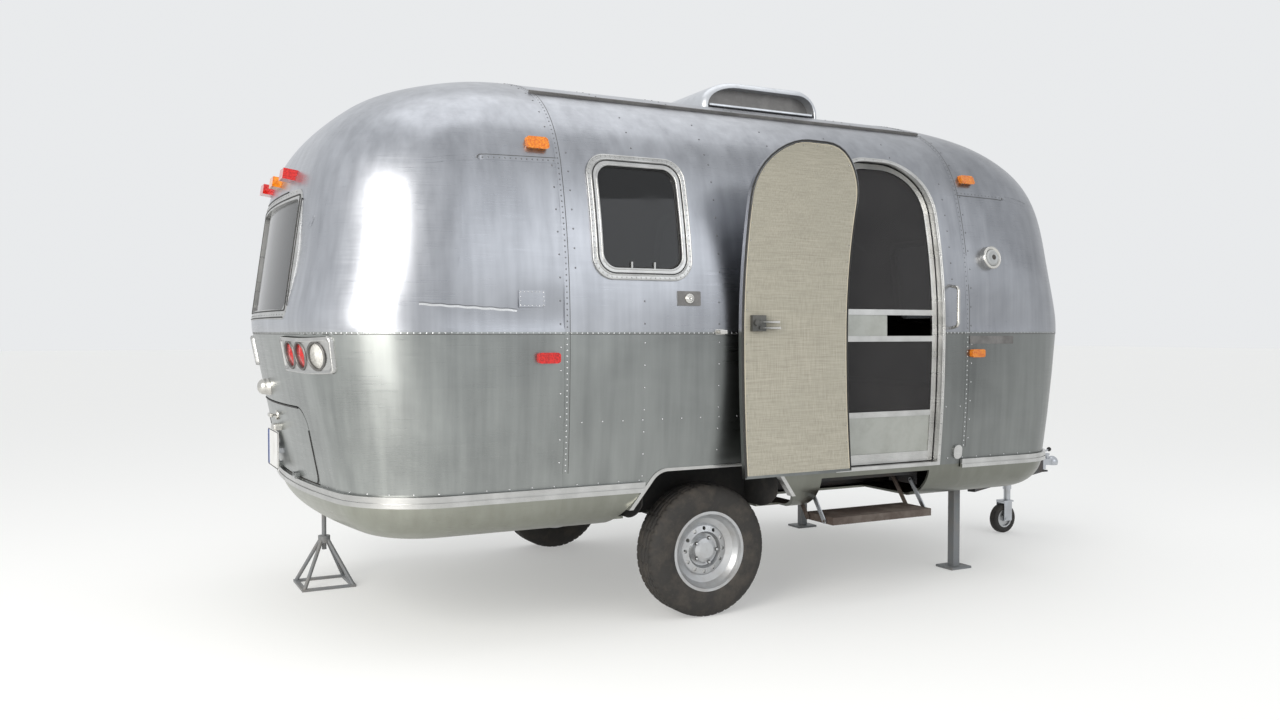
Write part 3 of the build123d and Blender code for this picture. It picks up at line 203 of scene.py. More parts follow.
def sheet_number(paint):
    """A number that differs from sheet to sheet of the body."""
    x, y, z = (paint.axis(name) for name in "XYZ")
    number = paint.math("GREATER_THAN", x, ORIGIN.x)
    for axis, limit, weight in ((x, ORIGIN.x + SEAM_FRONT_X / 1000, 2.0),
                                (z, ORIGIN.z, 4.0), (z, ORIGIN.z + ROOF_SEAM_Z / 1000, 8.0),
                                (y, ORIGIN.y, 16.0)):
        above = paint.math("GREATER_THAN", axis, limit)
        number = paint.math("MULTIPLY_ADD", above, weight, number)
    made = paint.node("ShaderNodeTexWhiteNoise", noise_dimensions="1D")
    paint.feed(made.inputs["W"], number)
    return made.outputs["Value"]


def skin_material(name, light, dark, low=(0.68, 0.69, 0.63)):
    """Weathered bare aluminium sheet: clouds of oxide, streaks, specks and scratches.

    Each sheet has its own tint. The body is lighter at the rear and darker towards the front,
    which is painted light and shade, and below the belt it is darker and greener, a painted
    reflection of grass.
    """
    paint = Paint(name, Metallic=1.0)
    cloud = paint.noise(1.3, 4.0, 0.55, 0.4)
    streak = paint.noise((16.0, 16.0, 1.0), 3.0)
    brushed = paint.noise((5.0, 5.0, 260.0), 2.0)
    speck = paint.noise(46.0, 5.0, 0.7)
    tone = paint.math("MULTIPLY_ADD", cloud, 0.65, paint.math("MULTIPLY", streak, 0.35))
    color = paint.mix(paint.levels(tone, 0.34, 0.64), dark, light)
    tint = paint.levels(sheet_number(paint), 0.0, 1.0, 0.93, 1.03)
    color = paint.times(color, tint)
    # Painted light and shade: brighter over the rear, darker towards the front
    ahead = paint.levels(paint.axis("X"), ORIGIN.x - 0.9, ORIGIN.x + 1.4, 1.22, 0.74)
    color = paint.times(color, ahead)
    # Painted reflection of grass: the sheets below the belt are darker and greener
    under = paint.math("LESS_THAN", paint.axis("Z"), ORIGIN.z)
    color = paint.mix(1.0, color, paint.mix(under, (1, 1, 1), low), "MULTIPLY")
    stain = paint.levels(speck, 0.66, 0.84, 0.0, 0.22)
    color = paint.mix(stain, color, (0.24, 0.235, 0.22))
    rough = paint.levels(paint.math("ADD", cloud, brushed), 0.75, 1.25, 0.27, 0.37)
    normal = paint.bump(paint.noise(2.1, 2.0, 0.4), 0.005, 0.5)
    normal = paint.bump(brushed, 0.0002, 0.3, normal)
    normal = paint.bump(speck, 0.0003, 0.3, normal)
    return paint.finish(color, rough, normal)


def trim_material():
    """Extruded aluminium with drawn streaks and small knocks."""
    paint = Paint("trim", Metallic=1.0)
    streak = paint.noise((1.5, 1.5, 90.0), 3.0)
    cloud = paint.noise(7.0, 5.0, 0.6)
    color = paint.mix(paint.levels(cloud, 0.3, 0.7), (0.44, 0.44, 0.43), (0.6, 0.6, 0.59))
    rough = paint.levels(streak, 0.3, 0.7, 0.24, 0.4)
    normal = paint.bump(cloud, 0.001, 0.4)
    return paint.finish(color, rough, normal)


def glass_material():
    """Tinted glass with a smeared surface."""
    paint = Paint("window_glass", Metallic=0.0, IOR=1.45, Transmission_Weight=0.9,
                  Specular_IOR_Level=0.35)
    smear = paint.noise((9.0, 9.0, 3.0), 5.0, 0.65, 0.6)
    rough = paint.levels(smear, 0.4, 0.75, 0.02, 0.12)
    return paint.finish((0.055, 0.06, 0.065, 1.0), rough)


def liner_material():
    """Beige vinyl with a woven grasscloth print."""
    paint = Paint("liner", Metallic=0.0, Sheen_Weight=0.15)
    across = paint.noise((9.0, 9.0, 330.0), 2.0)
    down = paint.noise((330.0, 330.0, 9.0), 2.0)
    weave = paint.math("ADD", across, down)
    cloud = paint.noise(3.0, 4.0)
    color = paint.mix(paint.levels(weave, 0.7, 1.3), (0.29, 0.27, 0.215), (0.47, 0.44, 0.36))
    color = paint.mix(paint.levels(cloud, 0.35, 0.7, 0.0, 0.35), color, (0.35, 0.335, 0.27))
    return paint.finish(color, 0.62, paint.bump(weave, 0.0009, 0.8))


def lens_material(name, color, dark):
    """Lamp plastic with small moulded cells."""
    paint = Paint(name, Metallic=0.0, Coat_Weight=0.6, Transmission_Weight=0.15)
    cells = paint.noise(130.0, 1.0)
    shade = paint.mix(paint.levels(cells, 0.35, 0.65), dark, color)
    return paint.finish(shade, 0.18, paint.bump(cells, 0.001, 0.4))


def painted_material(name, color, worn, rough, metallic=0.0, wear=0.25):
    """Paint or plating with dust and small worn places."""
    paint = Paint(name, Metallic=metallic)
    cloud = paint.noise(9.0, 6.0, 0.65)
    speck = paint.noise(60.0, 4.0, 0.7)
    shade = paint.mix(paint.levels(cloud, 0.45, 0.75, 0.0, wear * 2), color, worn)
    shade = paint.mix(paint.levels(speck, 0.6, 0.75, 0.0, wear), shade, worn)
    normal = paint.bump(speck, 0.0006, 0.5)
    return paint.finish(shade, paint.levels(cloud, 0.3, 0.7, rough - 0.08, rough + 0.1), normal)


def mesh_material():
    """Dark insect screen that lets some light through."""
    paint = Paint("screen_mesh", Metallic=0.0)
    cloud = paint.noise(5.0, 3.0)
    color = paint.mix(cloud, (0.018, 0.017, 0.018), (0.04, 0.038, 0.038))
    return paint.finish(color, 0.7, None, Alpha=0.7)


# Paint, plating and plastic: name, colour, worn colour, roughness, metallic
PAINTS = [
    ("floor_board", (0.25, 0.17, 0.1), (0.14, 0.1, 0.07), 0.5),
    ("well_sheet", (0.02, 0.02, 0.02), (0.09, 0.08, 0.07), 0.8),
    ("lock_metal", (0.62, 0.61, 0.58), (0.4, 0.38, 0.35), 0.24, 1.0),
    ("screen_panel", (0.42, 0.43, 0.4), (0.3, 0.3, 0.27), 0.42, 0.6),
    ("vent_plastic", (0.62, 0.64, 0.67), (0.45, 0.46, 0.48), 0.35, 0.9),
    ("frame_steel", (0.02, 0.02, 0.022), (0.1, 0.07, 0.05), 0.55),
    ("zinc", (0.5, 0.52, 0.55), (0.35, 0.34, 0.33), 0.35, 1.0),
    ("stand_paint", (0.2, 0.21, 0.22), (0.3, 0.26, 0.22), 0.5),
    ("tyre_rubber", (0.03, 0.028, 0.026), (0.13, 0.11, 0.09), 0.8),
    ("rim_paint", (0.5, 0.51, 0.52), (0.3, 0.27, 0.24), 0.35, 0.8),
    ("step_paint", (0.075, 0.055, 0.045), (0.26, 0.23, 0.2), 0.7),
    ("painted_shade_metal", (0.2, 0.205, 0.215), (0.35, 0.35, 0.36), 0.35, 1.0),
    ("lining_and_painted_shade", (0.11, 0.1, 0.085), (0.07, 0.06, 0.05), 0.6),
    ("blue", (0.02, 0.07, 0.32), (0.05, 0.09, 0.2), 0.4),
    ("plate", (0.75, 0.75, 0.73), (0.5, 0.49, 0.46), 0.35),
    ("furniture", (0.3, 0.18, 0.09), (0.16, 0.1, 0.06), 0.4),
    ("gasket", (0.012, 0.012, 0.012), (0.06, 0.055, 0.05), 0.6),
    ("lock_case", (0.09, 0.09, 0.085), (0.25, 0.24, 0.22), 0.4, 0.6),
    ("shade", (0.05, 0.045, 0.04), (0.12, 0.1, 0.08), 0.7),
    ("rivet", (0.8, 0.81, 0.82), (0.55, 0.55, 0.55), 0.25, 1.0),
    ("grime_and_painted_shade", (0.1, 0.1, 0.098), (0.2, 0.2, 0.19), 0.5, 0.7),
    ("rail_grey", (0.16, 0.155, 0.15), (0.36, 0.35, 0.34), 0.45, 0.8),
    ("lamp_glass", (0.42, 0.43, 0.43), (0.2, 0.2, 0.2), 0.12),
    ("cream", (0.66, 0.6, 0.47), (0.4, 0.36, 0.28), 0.45),
]

MATERIALS = {
    # The skin's colours lean blue: a painted reflection of sky
    "skin": skin_material("skin", (0.5, 0.515, 0.55), (0.31, 0.32, 0.345)),
    "belly_sheet": skin_material("belly_sheet", (0.46, 0.465, 0.45), (0.35, 0.35, 0.33)),
    "trim": trim_material(),
    "window_glass": glass_material(),
    "liner": liner_material(),
    "screen_mesh": mesh_material(),
    "lens_amber": lens_material("lens_amber", (0.9, 0.3, 0.01), (0.65, 0.13, 0.0)),
    "lens_red": lens_material("lens_red", (0.75, 0.015, 0.01), (0.4, 0.0, 0.0)),
    "lens_clear": lens_material("lens_clear", (0.85, 0.84, 0.8), (0.65, 0.64, 0.6)),
}
MATERIALS.update((name, painted_material(name, *values)) for name, *values in PAINTS)


# CAD nodes of the shell
SHELL = ("wall_right", "wall_left", "roof", "end_rear_lower", "end_rear_upper",
         "end_front_lower", "end_front_upper")


def finish_faces(name, material, chosen=None):
    """A second finish for a node's faces, or for those chosen by centre in body mm and normal."""
    mesh = frame["nodes"][name].data
    matrix = frame["nodes"][name].matrix_world
    mesh.materials.append(MATERIALS[material])
    last = len(mesh.materials) - 1
    for polygon in mesh.polygons:
        centre = (matrix @ polygon.center - ORIGIN) * 1000
        if chosen is None or chosen(centre, polygon.normal):
            polygon.material_index = last


def faces_in(centre, normal):
    """Whether a face of the shell looks into the cabin."""
    middle = Vector((min(max(centre.x, 0), SEAM_FRONT_X), 0, 100))
    out = (centre - middle).normalized()
    return normal.dot(out) < -0.4


def dress_nodes():
    """Every CAD node takes the material of its slot, some faces one of their own."""
    slots = {part["node"]: part["material_slot"] for part in frame["record"]["subparts"]}
    for name, node in frame["nodes"].items():
        node.data.materials.clear()
        node.data.materials.append(MATERIALS[slots[name]])
    # The gutters are dark grey: painted shade, as they lie in shadow under the roof's edge
    finish_faces("gutters", "rail_grey")
    finish_faces("porch_lamp", "lock_metal")
    # Of the side fittings the rear patch is bare sheet, the porch and lock plates are dull
    finish_faces("side_fittings", "skin", lambda c, n: c.x < 0)
    finish_faces("side_fittings", "rail_grey", lambda c, n: 2500 < c.x < 2900 and c.z > -100)
    finish_faces("side_fittings", "rail_grey", lambda c, n: 600 < c.x < 740)
    # The door's lock has a dark case, which ends at this x
    finish_faces("door_lock", "lock_case", lambda c, n: c.x < 1075)
    # The inward faces of the shell are dark brown: partly the lining's colour, partly painted
    # shade of the dim cabin
    for name in SHELL:
        finish_faces(name, "lining_and_painted_shade", faces_in)


# Stage

def seen_rays(tree):
    """1 for the rays that show the background: camera, glossy and transmission rays."""
    path = tree.nodes.new("ShaderNodeLightPath")
    total = path.outputs["Is Camera Ray"]
    for name in ("Is Glossy Ray", "Is Transmission Ray"):
        highest = tree.nodes.new("ShaderNodeMath")
        highest.operation = "MAXIMUM"
        tree.links.new(total, highest.inputs[0])
        tree.links.new(path.outputs[name], highest.inputs[1])
        total = highest.outputs[0]
    return total


def build_stage():
    """A pale floor: lit by the lamps, with its own even paleness for the rays that see it."""
    floor = bpy.data.meshes.new("floor")
    edit = bmesh.new()
    bmesh.ops.create_grid(edit, x_segments=1, y_segments=1, size=90.0)
    edit.to_mesh(floor)
    edit.free()
    plane = bpy.data.objects.new("studio_floor", floor)
    bpy.context.scene.collection.objects.link(plane)
    paint = Paint("studio_floor", Roughness=0.9, Specular_IOR_Level=0.1)
    paint.bsdf.inputs["Base Color"].default_value = (0.62, 0.62, 0.61, 1.0)
    paint.bsdf.inputs["Emission Color"].default_value = (1.0, 1.0, 0.99, 1.0)
    glow = paint.math("MULTIPLY", seen_rays(paint.tree), FLOOR_GLOW)
    paint.feed(paint.bsdf.inputs["Emission Strength"], glow)
    floor.materials.append(paint.material)


def build_world():
    """Even pale light on the object, and the same near-white wherever the world is seen."""
    world = bpy.data.worlds.new("studio")
    bpy.context.scene.world = world
    world.use_nodes = True
    nodes, links = world.node_tree.nodes, world.node_tree.links
    background = nodes["Background"]
    strength = nodes.new("ShaderNodeMapRange")
    strength.inputs["To Min"].default_value = WORLD_LIGHT
    strength.inputs["To Max"].default_value = WORLD_SEEN
    links.new(seen_rays(world.node_tree), strength.inputs["Value"])
    links.new(strength.outputs["Result"], background.inputs["Strength"])
    background.inputs["Color"].default_value = (0.97, 0.985, 1.0, 1.0)


def add_light(name, place, aim, size, power, color=(1.0, 1.0, 1.0)):
    data = bpy.data.lights.new(name, "AREA")
    data.shape = "RECTANGLE"
    data.size, data.size_y = size
    data.energy = power
    data.color = color
    light = bpy.data.objects.new(name, data)
    light.location = place
    light.rotation_euler = (Vector(aim) - Vector(place)).to_track_quat("-Z", "Y").to_euler()
    bpy.context.scene.collection.objects.link(light)


def build_lights():
    add_light("key", (-7.0, -4.5, 3.4), (-2.2, -0.9, 1.4), (3.6, 5.0), 410, (1.0, 0.97, 0.92))
    add_light("fill", (3.5, -8.0, 4.5), (0.5, 0, 1.2), (6.0, 4.0), 80, (0.93, 0.96, 1.0))
    add_light("top", (0, 0.5, 7.5), (0, 0, 1), (7.0, 5.0), 80)


def build_camera():
    data = bpy.data.cameras.new("camera")
    data.lens = CAMERA_LENS
    camera = bpy.data.objects.new("camera", data)
    camera.location = at(*CAMERA_PLACE)
    camera.rotation_euler = Euler([radians(a) for a in CAMERA_TURN])
    bpy.context.scene.collection.objects.link(camera)
    bpy.context.scene.camera = camera


# Pieces built on the surfaces of the solids

class Surface:
    """What a ray from outside meets first on some nodes."""

    def __init__(self, *names):
        verts, faces = [], []
        for name in names:
            node = frame["nodes"][name]
            base = len(verts)
            verts += [node.matrix_world @ vertex.co for vertex in node.data.vertices]
            faces += [[base + i for i in polygon.vertices] for polygon in node.data.polygons]
        self.tree = BVHTree.FromPolygons(verts, faces)

    def cast(self, start, aim, reach=1.5):
        """Point and normal where the ray from start to aim lands within reach, or None."""
        point, normal, _, _ = self.tree.ray_cast(start, (aim - start).normalized(), reach)
        return point and (point, normal)

    def nearest(self, point):
        """The nearest point, and the normal there turned to the side of the given one."""
        found, normal, _, _ = self.tree.find_nearest(point)
        return found, normal if normal.dot(point - found) >= 0 else -normal


def runs_of(spots):
    """Splits (point, normal) spots into runs, at a missed ray (None) or a gap of 0.2 m."""
    runs, run = [], []
    for spot in spots:
        if spot is None or (run and (spot[0] - run[-1][0]).length > 0.2):
            runs.append(run)
            run = []
        if spot is not None:
            run.append(spot)
    return [run for run in runs + [run] if len(run) > 1]


def spaced(run, pitch):
    """Spots at an even pitch along a run, the first half a pitch from its start."""
    made, walked = [], -pitch * 0.5
    for (a, na), (b, nb) in zip(run, run[1:]):
        length = (b - a).length
        while walked + pitch <= length:
            walked += pitch
            share = walked / length
            made.append((a.lerp(b, share), na.lerp(nb, share).normalized()))
        walked -= length
    return made


def section_spots(surface, x):
    """Spots on the body's cross-section at x, from the right side over the roof."""
    middle, reach = 250, 2600
    spots = []
    for degree in range(-38, 219, 2):
        turn = radians(degree)
        start = at(x, -reach * cos(turn), middle + reach * sin(turn))
        spots.append(surface.cast(start, at(x, 0, middle), 2.2))
    return spots


def level_spots(surface, z):
    """Spots round the body at height z: right side, front, left side, rear."""
    reach = 2200
    turns = [radians(degree) for degree in range(0, 181, 3)]
    rays = [((x, -2000, z), (x, 0, z)) for x in range(20, SEAM_FRONT_X, 40)]
    rays += [((SEAM_FRONT_X + reach * sin(turn), -reach * cos(turn), z), (SEAM_FRONT_X, 0, z))
             for turn in turns]
    rays += [((x, 2000, z), (x, 0, z)) for x in range(SEAM_FRONT_X - 20, 0, -40)]
    rays += [((-reach * sin(turn), reach * cos(turn), z), (0, 0, z)) for turn in turns]
    return [surface.cast(at(*start), at(*aim)) for start, aim in rays]


def side_spots(surface, points, side=-1):
    """Spots under (x, z) points of one side."""
    return [surface.cast(at(x, side * 1700, z), at(x, 0, z), 0.9) for x, z in points]


def quarter(cx, cz, radius, first, steps):
    """Points of a quarter circle round (cx, cz) that starts at the angle first in degrees."""
    turns = [radians(first + 90 * i / steps) for i in range(steps + 1)]
    return [(cx + radius * cos(turn), cz + radius * sin(turn)) for turn in turns]


def round_path(x0, x1, z0, z1, corner, steps=8):
    """Points of a rounded rectangle, closed, from the lower right corner upward."""
    path = []
    for cx, cz, first in ((x1 - corner, z0 + corner, -90), (x1 - corner, z1 - corner, 0),
                          (x0 + corner, z1 - corner, 90), (x0 + corner, z0 + corner, 180)):
        path += quarter(cx, cz, corner, first, steps)
    return path + path[:1]


def arch_path(x0, x1, z0, z1, corner):
    """Points of an upright outline with square feet and a round top, open at the foot."""
    middle = (z0 + z1) / 2
    path = [(x1, z0), (x1, middle)]
    for cx, first in ((x1 - corner, 0), (x0 + corner, 90)):
        path += quarter(cx, z1 - corner, corner, first, 10)
    return path + [(x0, middle), (x0, z0)]


def dense(path, step=40.0):
    """The same (x, z) path with points at most a step apart."""
    made = []
    for (x0, z0), (x1, z1) in zip(path, path[1:]):
        count = max(1, round(hypot(x1 - x0, z1 - z0) / step))
        made += [(x0 + (x1 - x0) * i / count, z0 + (z1 - z0) * i / count) for i in range(count)]
    return made + path[-1:]


def add_mesh(name, verts, faces, slot, body="root", smooth=True, material=None):
    """A piece from points in the row frame, with its slot's material unless another is named, on
    its body.
    """
    mesh = bpy.data.meshes.new(name)
    mesh.from_pydata([tuple(vert) for vert in verts], [], faces)
    mesh.polygons.foreach_set("use_smooth", [smooth] * len(faces))
    mesh.update()
    return place(bpy.data.objects.new(name, mesh), slot, body, material)


def place(piece, slot, body, material=None):
    """Puts a piece into the scene, with its slot's material unless another is named."""
    piece.data.materials.append(MATERIALS[material or slot])
    bpy.context.scene.collection.objects.link(piece)
    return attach(piece, body)


def add_domes(name, spots, radius, height, slot="skin", body="root", sides=8, material=None):
    """Rivet or screw heads on (point, normal) spots, in one mesh; sizes in millimetres."""
    radius, height = radius / 1000, height / 1000
    verts, faces = [], []
    for point, normal in spots:
        turn = normal.to_track_quat("Z", "Y")
        base, top = len(verts), len(verts) + 2 * sides
        for share, rise in ((1.0, -0.1), (0.72, 0.72)):
            for i in range(sides):
                angle = 2 * pi * i / sides
                out = Vector((cos(angle) * radius * share, sin(angle) * radius * share,
                              height * rise))
                verts.append(point + turn @ out)
        verts.append(point + normal * height)
        for i in range(sides):
            j = (i + 1) % sides
            faces.append((base + i, base + j, base + sides + j, base + sides + i))
            faces.append((base + sides + i, base + sides + j, top))
    piece = add_mesh(name, verts, faces, slot, body, material=material)
    # The steep sides of each head are dark: painted shade round the head
    piece.data.materials.append(MATERIALS["grime_and_painted_shade"])
    for i in range(0, len(faces), 2):
        piece.data.polygons[i].material_index = 1
    return piece


def add_rivets(name, spots):
    """Skin rivets: above the belt, where the sheets are pale, in a dark metal that is painted
    shade to set them apart; below it bright.
    """
    upper = [spot for spot in spots if spot[0].z > ORIGIN.z]
    lower = [spot for spot in spots if spot[0].z <= ORIGIN.z]
    # Painted shade: the rivets above the belt are darkened
    add_domes(name + "_upper", upper, 5.0, 2.4, material="painted_shade_metal")
    add_domes(name + "_lower", lower, 5.0, 2.4, material="rivet")


def add_strip(name, runs, width, thick, shift=0.0, material=None):
    """Flat lap strips along runs of spots, their top and both edges; sizes in millimetres."""
    half, thick, shift, sunk = width / 2000, thick / 1000, shift / 1000, 0.0004
    verts, faces = [], []
    for run in runs:
        rows = []
        for i, (point, normal) in enumerate(run):
            ahead = run[min(i + 1, len(run) - 1)][0] - run[max(i - 1, 0)][0]
            across = ahead.cross(normal).normalized() * half
            point = point + across * (shift / half)
            rows.append((point - across - normal * sunk, point - across + normal * thick,
                         point + across + normal * thick, point + across - normal * sunk))
        for low, high in ((0, 1), (1, 2), (2, 3)):
            base = len(verts)
            for row in rows:
                verts += [row[low], row[high]]
            faces += [(base + 2 * i, base + 2 * i + 1, base + 2 * i + 3, base + 2 * i + 2)
                      for i in range(len(rows) - 1)]
    return add_mesh(name, verts, faces, "skin", material=material)


def add_wires(name, runs, radius, slot, body="root", closed=False, material=None):
    """Round beads along runs of spots, in one curve object; sizes in millimetres."""
    curve = bpy.data.curves.new(name, "CURVE")
    curve.dimensions = "3D"
    curve.bevel_depth = radius / 1000
    curve.bevel_resolution = 2
    for run in runs:
        points = [point for point, _ in run]
        if closed:
            points.pop()
        spline = curve.splines.new("POLY")
        spline.points.add(len(points) - 1)
        for target, point in zip(spline.points, points):
            target.co = (*point, 1.0)
        spline.use_cyclic_u = closed
    return place(bpy.data.objects.new(name, curve), slot, body, material)


def add_box(name, boxes, slot, body="root", bevel=0.0, material=None):
    """Boxes given as (x0, x1, y0, y1, z0, z1) in body millimetres, in one mesh."""
    edit = bmesh.new()
    for x0, x1, y0, y1, z0, z1 in boxes:
        made = bmesh.ops.create_cube(edit, size=1.0)["verts"]
        for vert in made:
            vert.co = Vector((x0 if vert.co.x < 0 else x1, y0 if vert.co.y < 0 else y1,
                              z0 if vert.co.z < 0 else z1))
    if bevel:
        bmesh.ops.bevel(edit, geom=list(edit.edges), offset=bevel, segments=2, profile=0.6,
                        affect="EDGES")
    for vert in edit.verts:
        vert.co = at(*vert.co)
    mesh = bpy.data.meshes.new(name)
    edit.to_mesh(mesh)
    edit.free()
    return place(bpy.data.objects.new(name, mesh), slot, body, material)


def lathe(name, profile, centre, axis, steps, slot, body="root", modulate=None, material=None):
    """A (radius, along) profile in millimetres, turned about an axis through centre.

    modulate(step, index in the profile, radius) may change the radius of each point.
    """
    turn = Vector(axis).to_track_quat("Z", "Y")
    verts, faces = [], []
    count = len(profile)
    for i in range(steps):
        angle = 2 * pi * i / steps
        for j, (radius, along) in enumerate(profile):
            if modulate:
                radius = modulate(i, j, radius)
            out = Vector((cos(angle) * radius, sin(angle) * radius, along)) / 1000
            verts.append(at(*centre) + turn @ out)
        first, after = i * count, (i + 1) % steps * count
        faces += [(first + j, after + j, after + j + 1, first + j + 1) for j in range(count - 1)]
    return add_mesh(name, verts, faces, slot, body, material=material)


def swung(x, y):
    """Where a point of the closed entry door lies when the door rests open."""
    dx, dy = x - DOOR_HINGE[0], y - DOOR_HINGE[1]
    return (DOOR_HINGE[0] + dx * cos(DOOR_OPEN) - dy * sin(DOOR_OPEN),
            DOOR_HINGE[1] + dx * sin(DOOR_OPEN) + dy * cos(DOOR_OPEN))


SKIN = Surface(*SHELL)


def cap_seam_runs():
    """The upper seam of both caps on both sides, as spots on the skin."""
    pieces = 8
    runs = []
    for side in (-1, 1):
        for front in (False, True):
            run = []
            for (x0, i0, z0), (x1, i1, z1) in zip(CAP_SEAM, CAP_SEAM[1:]):
                for step in range(pieces):
                    share = step / pieces
                    x, inset, z = (a + (b - a) * share for a, b in ((x0, x1), (i0, i1), (z0, z1)))
                    if front:
                        x = SEAM_FRONT_X - x * FRONT_CAP_SHARE
                    outside = at(x, side * (HALF_WIDTH - inset + 20), z + 12)
                    run.append(SKIN.nearest(outside))
            runs.append(run)
    return runs


def build_seams():
    """Lap strips of the sheets and the rows of rivets along them."""
    belt_strip, belt_row, rail_row = 4, -5, RAIL_Z + 36
    seams, rivets = [], []
    for seam_x, row_x in ((12, -20), (SEAM_FRONT_X - 12, SEAM_FRONT_X + 20)):
        seam = runs_of(section_spots(SKIN, seam_x))
        seams += seam
        for run in seam:
            rivets += spaced(run, CLOSE_PITCH)
        for run in runs_of(section_spots(SKIN, row_x)):
            rivets += spaced(run, WIDE_PITCH)
    seams += runs_of(level_spots(SKIN, belt_strip))
    for run in runs_of(level_spots(SKIN, belt_row)):
        rivets += spaced(run, 0.0275)
    caps = cap_seam_runs()
    for run in caps:
        rivets += spaced(run, CLOSE_PITCH)
    seams += caps
    add_strip("seam_strips", seams, 25, 0.9)
    # A thin dark line along one edge of each lap strip: painted shade at the lap's edge
    add_strip("seam_shade_lines", seams, 3.4, 1.2, shift=14, material="grime_and_painted_shade")
    for run in runs_of(level_spots(SKIN, rail_row)):
        rivets += spaced(run, 0.11)
    add_rivets("seam_rivets", rivets)


def build_rib_rivets():
    """Sparse rivets where the ribs stand behind the sheets."""
    points = []
    # Under the windows, at the belt and over the windows; then beside the windows; then a rail
    for x in (420, 840, 1260, 1690, 2100):
        for start, stop, pitch in ((-700, -30, 108), (40, 235, 108), (905, 1130, 86)):
            points += [(x, z) for z in range(start, stop, pitch)]
    for x in (60, 850, 1300, 1560, 2400):
        points += [(x, z) for z in range(300, 900, 92)]
    points += [(x, -425) for x in range(90, 2500, 108)]
    spots = [spot for side in (-1, 1) for spot in side_spots(SKIN, points, side) if spot]
    for x in range(420, 2400, 420):
        for y in range(-640, 641, 80):
            spot = SKIN.cast(at(x, y, 1900), at(x, y, 0), 1.2)
            under_vent = 1090 < x < 2010 and abs(y) < 340
            if spot and not under_vent:
                spots.append(spot)
    add_rivets("rib_rivets", spots)


def window_ring(surface, side, x, margin, corner):
    """Spots round a side window, margin inside its frame's outer edge."""
    low, high = WINDOW_Z
    path = round_path(x - WINDOW_HALF + margin, x + WINDOW_HALF - margin,
                      low + margin, high - margin, corner)
    return runs_of(side_spots(surface, dense(path), side))


def build_window_trim():
    """Beads, gaskets, flange rivets and latches of the side windows."""
    frames, panes = Surface("side_window_frames"), Surface("side_window_panes")
    beads, gaskets, rivets, edges, latches = [], [], [], [], []
    for side, x in WINDOWS:
        for margin, corner in ((23, 91), (50, 75), (3, 103)):
            beads += window_ring(frames, side, x, margin, corner)
        gaskets += window_ring(frames, side, x, 31, 86)
        for run in window_ring(frames, side, x, 11, 98):
            rivets += spaced(run, 0.026)
        edges += window_ring(panes, side, x, 59, 68)
        y0, y1 = sorted((side * 1168, side * 1186))
        latches += [(x + dx - 5, x + dx + 5, y0, y1, 306, 338) for dx in (-62, 62)]
    add_wires("window_beads", beads, 3.6, "trim", closed=True)
    add_wires("window_gaskets", gaskets, 3.4, "tyre_rubber", closed=True, material="gasket")
    add_domes("window_rivets", rivets, 3.8, 1.9, "trim")
    add_wires("pane_gaskets", edges, 4.0, "tyre_rubber", closed=True, material="gasket")
    add_box("window_latches", latches, "trim", bevel=2)


def build_end_window_trim():
    """Gaskets and rivets round the rear and front windows."""
    surface = Surface("end_window_frames", "end_window_panes")
    middle = SEAM_FRONT_X / 2

    def ring(outside, margin):
        """Spots round the end window seen from the x outside, margin inside its frame."""
        path = round_path(-575 + margin, 575 - margin, 66 + margin, 686 - margin, 14)
        return runs_of([surface.cast(at(outside, y, z), at(middle, y, z), 2.4)
                        for y, z in dense(path)])

    gaskets, rivets = [], []
    for outside in (-2400, 4900):
        gaskets += ring(outside, 36) + ring(outside, 4)
        for run in ring(outside, 17):
            rivets += spaced(run, 0.05)
    add_wires("end_window_gaskets", gaskets, 3.6, "tyre_rubber", material="gasket")
    add_domes("end_window_rivets", rivets, 3.4, 1.5, "trim")


def build_door_trim():
    """Screws, edge bead and gasket of the open entry door."""
    liner = Surface("door_liner")
    leaf = Surface("door_leaf", "door_liner")

    def ring(surface, margin):
        """Spots round the open leaf, margin inside the edge of its liner."""
        inset = 20 + margin
        path = arch_path(DOOR_X[0] + inset, DOOR_X[1] - inset, RAIL_Z + 20 + inset,
                         DOOR_TOP - inset, 270 - margin)
        open_path = [(swung(x, -1160)[0], z) for x, z in dense(path)]
        return runs_of(side_spots(surface, open_path))

    screws = [spot for run in ring(liner, 12) for spot in spaced(run, 0.086)]
    add_domes("liner_screws", screws, 3.8, 1.8, "lock_metal", "entry_door")
    add_wires("liner_edge", ring(liner, 2), 1.5, "liner", "entry_door", material="cream")
    add_wires("door_gasket", ring(leaf, -9), 5.0, "tyre_rubber", "entry_door",
              material="gasket")


def build_jamb_trim():
    """Beads and rivets on the face of the door frame."""
    surface = Surface("door_frame")

    def ring(margin):
        """Spots round the doorway, margin outside its opening."""
        path = arch_path(DOOR_X[0] - margin, DOOR_X[1] + margin, -730, DOOR_TOP + margin,
                         290 + margin)
        return runs_of(side_spots(surface, dense(path)))

    rivets = [spot for run in ring(11) for spot in spaced(run, 0.06)]
    add_wires("jamb_beads", ring(5) + ring(17), 2.2, "trim")
    add_domes("jamb_rivets", rivets, 3.2, 1.4, "trim")


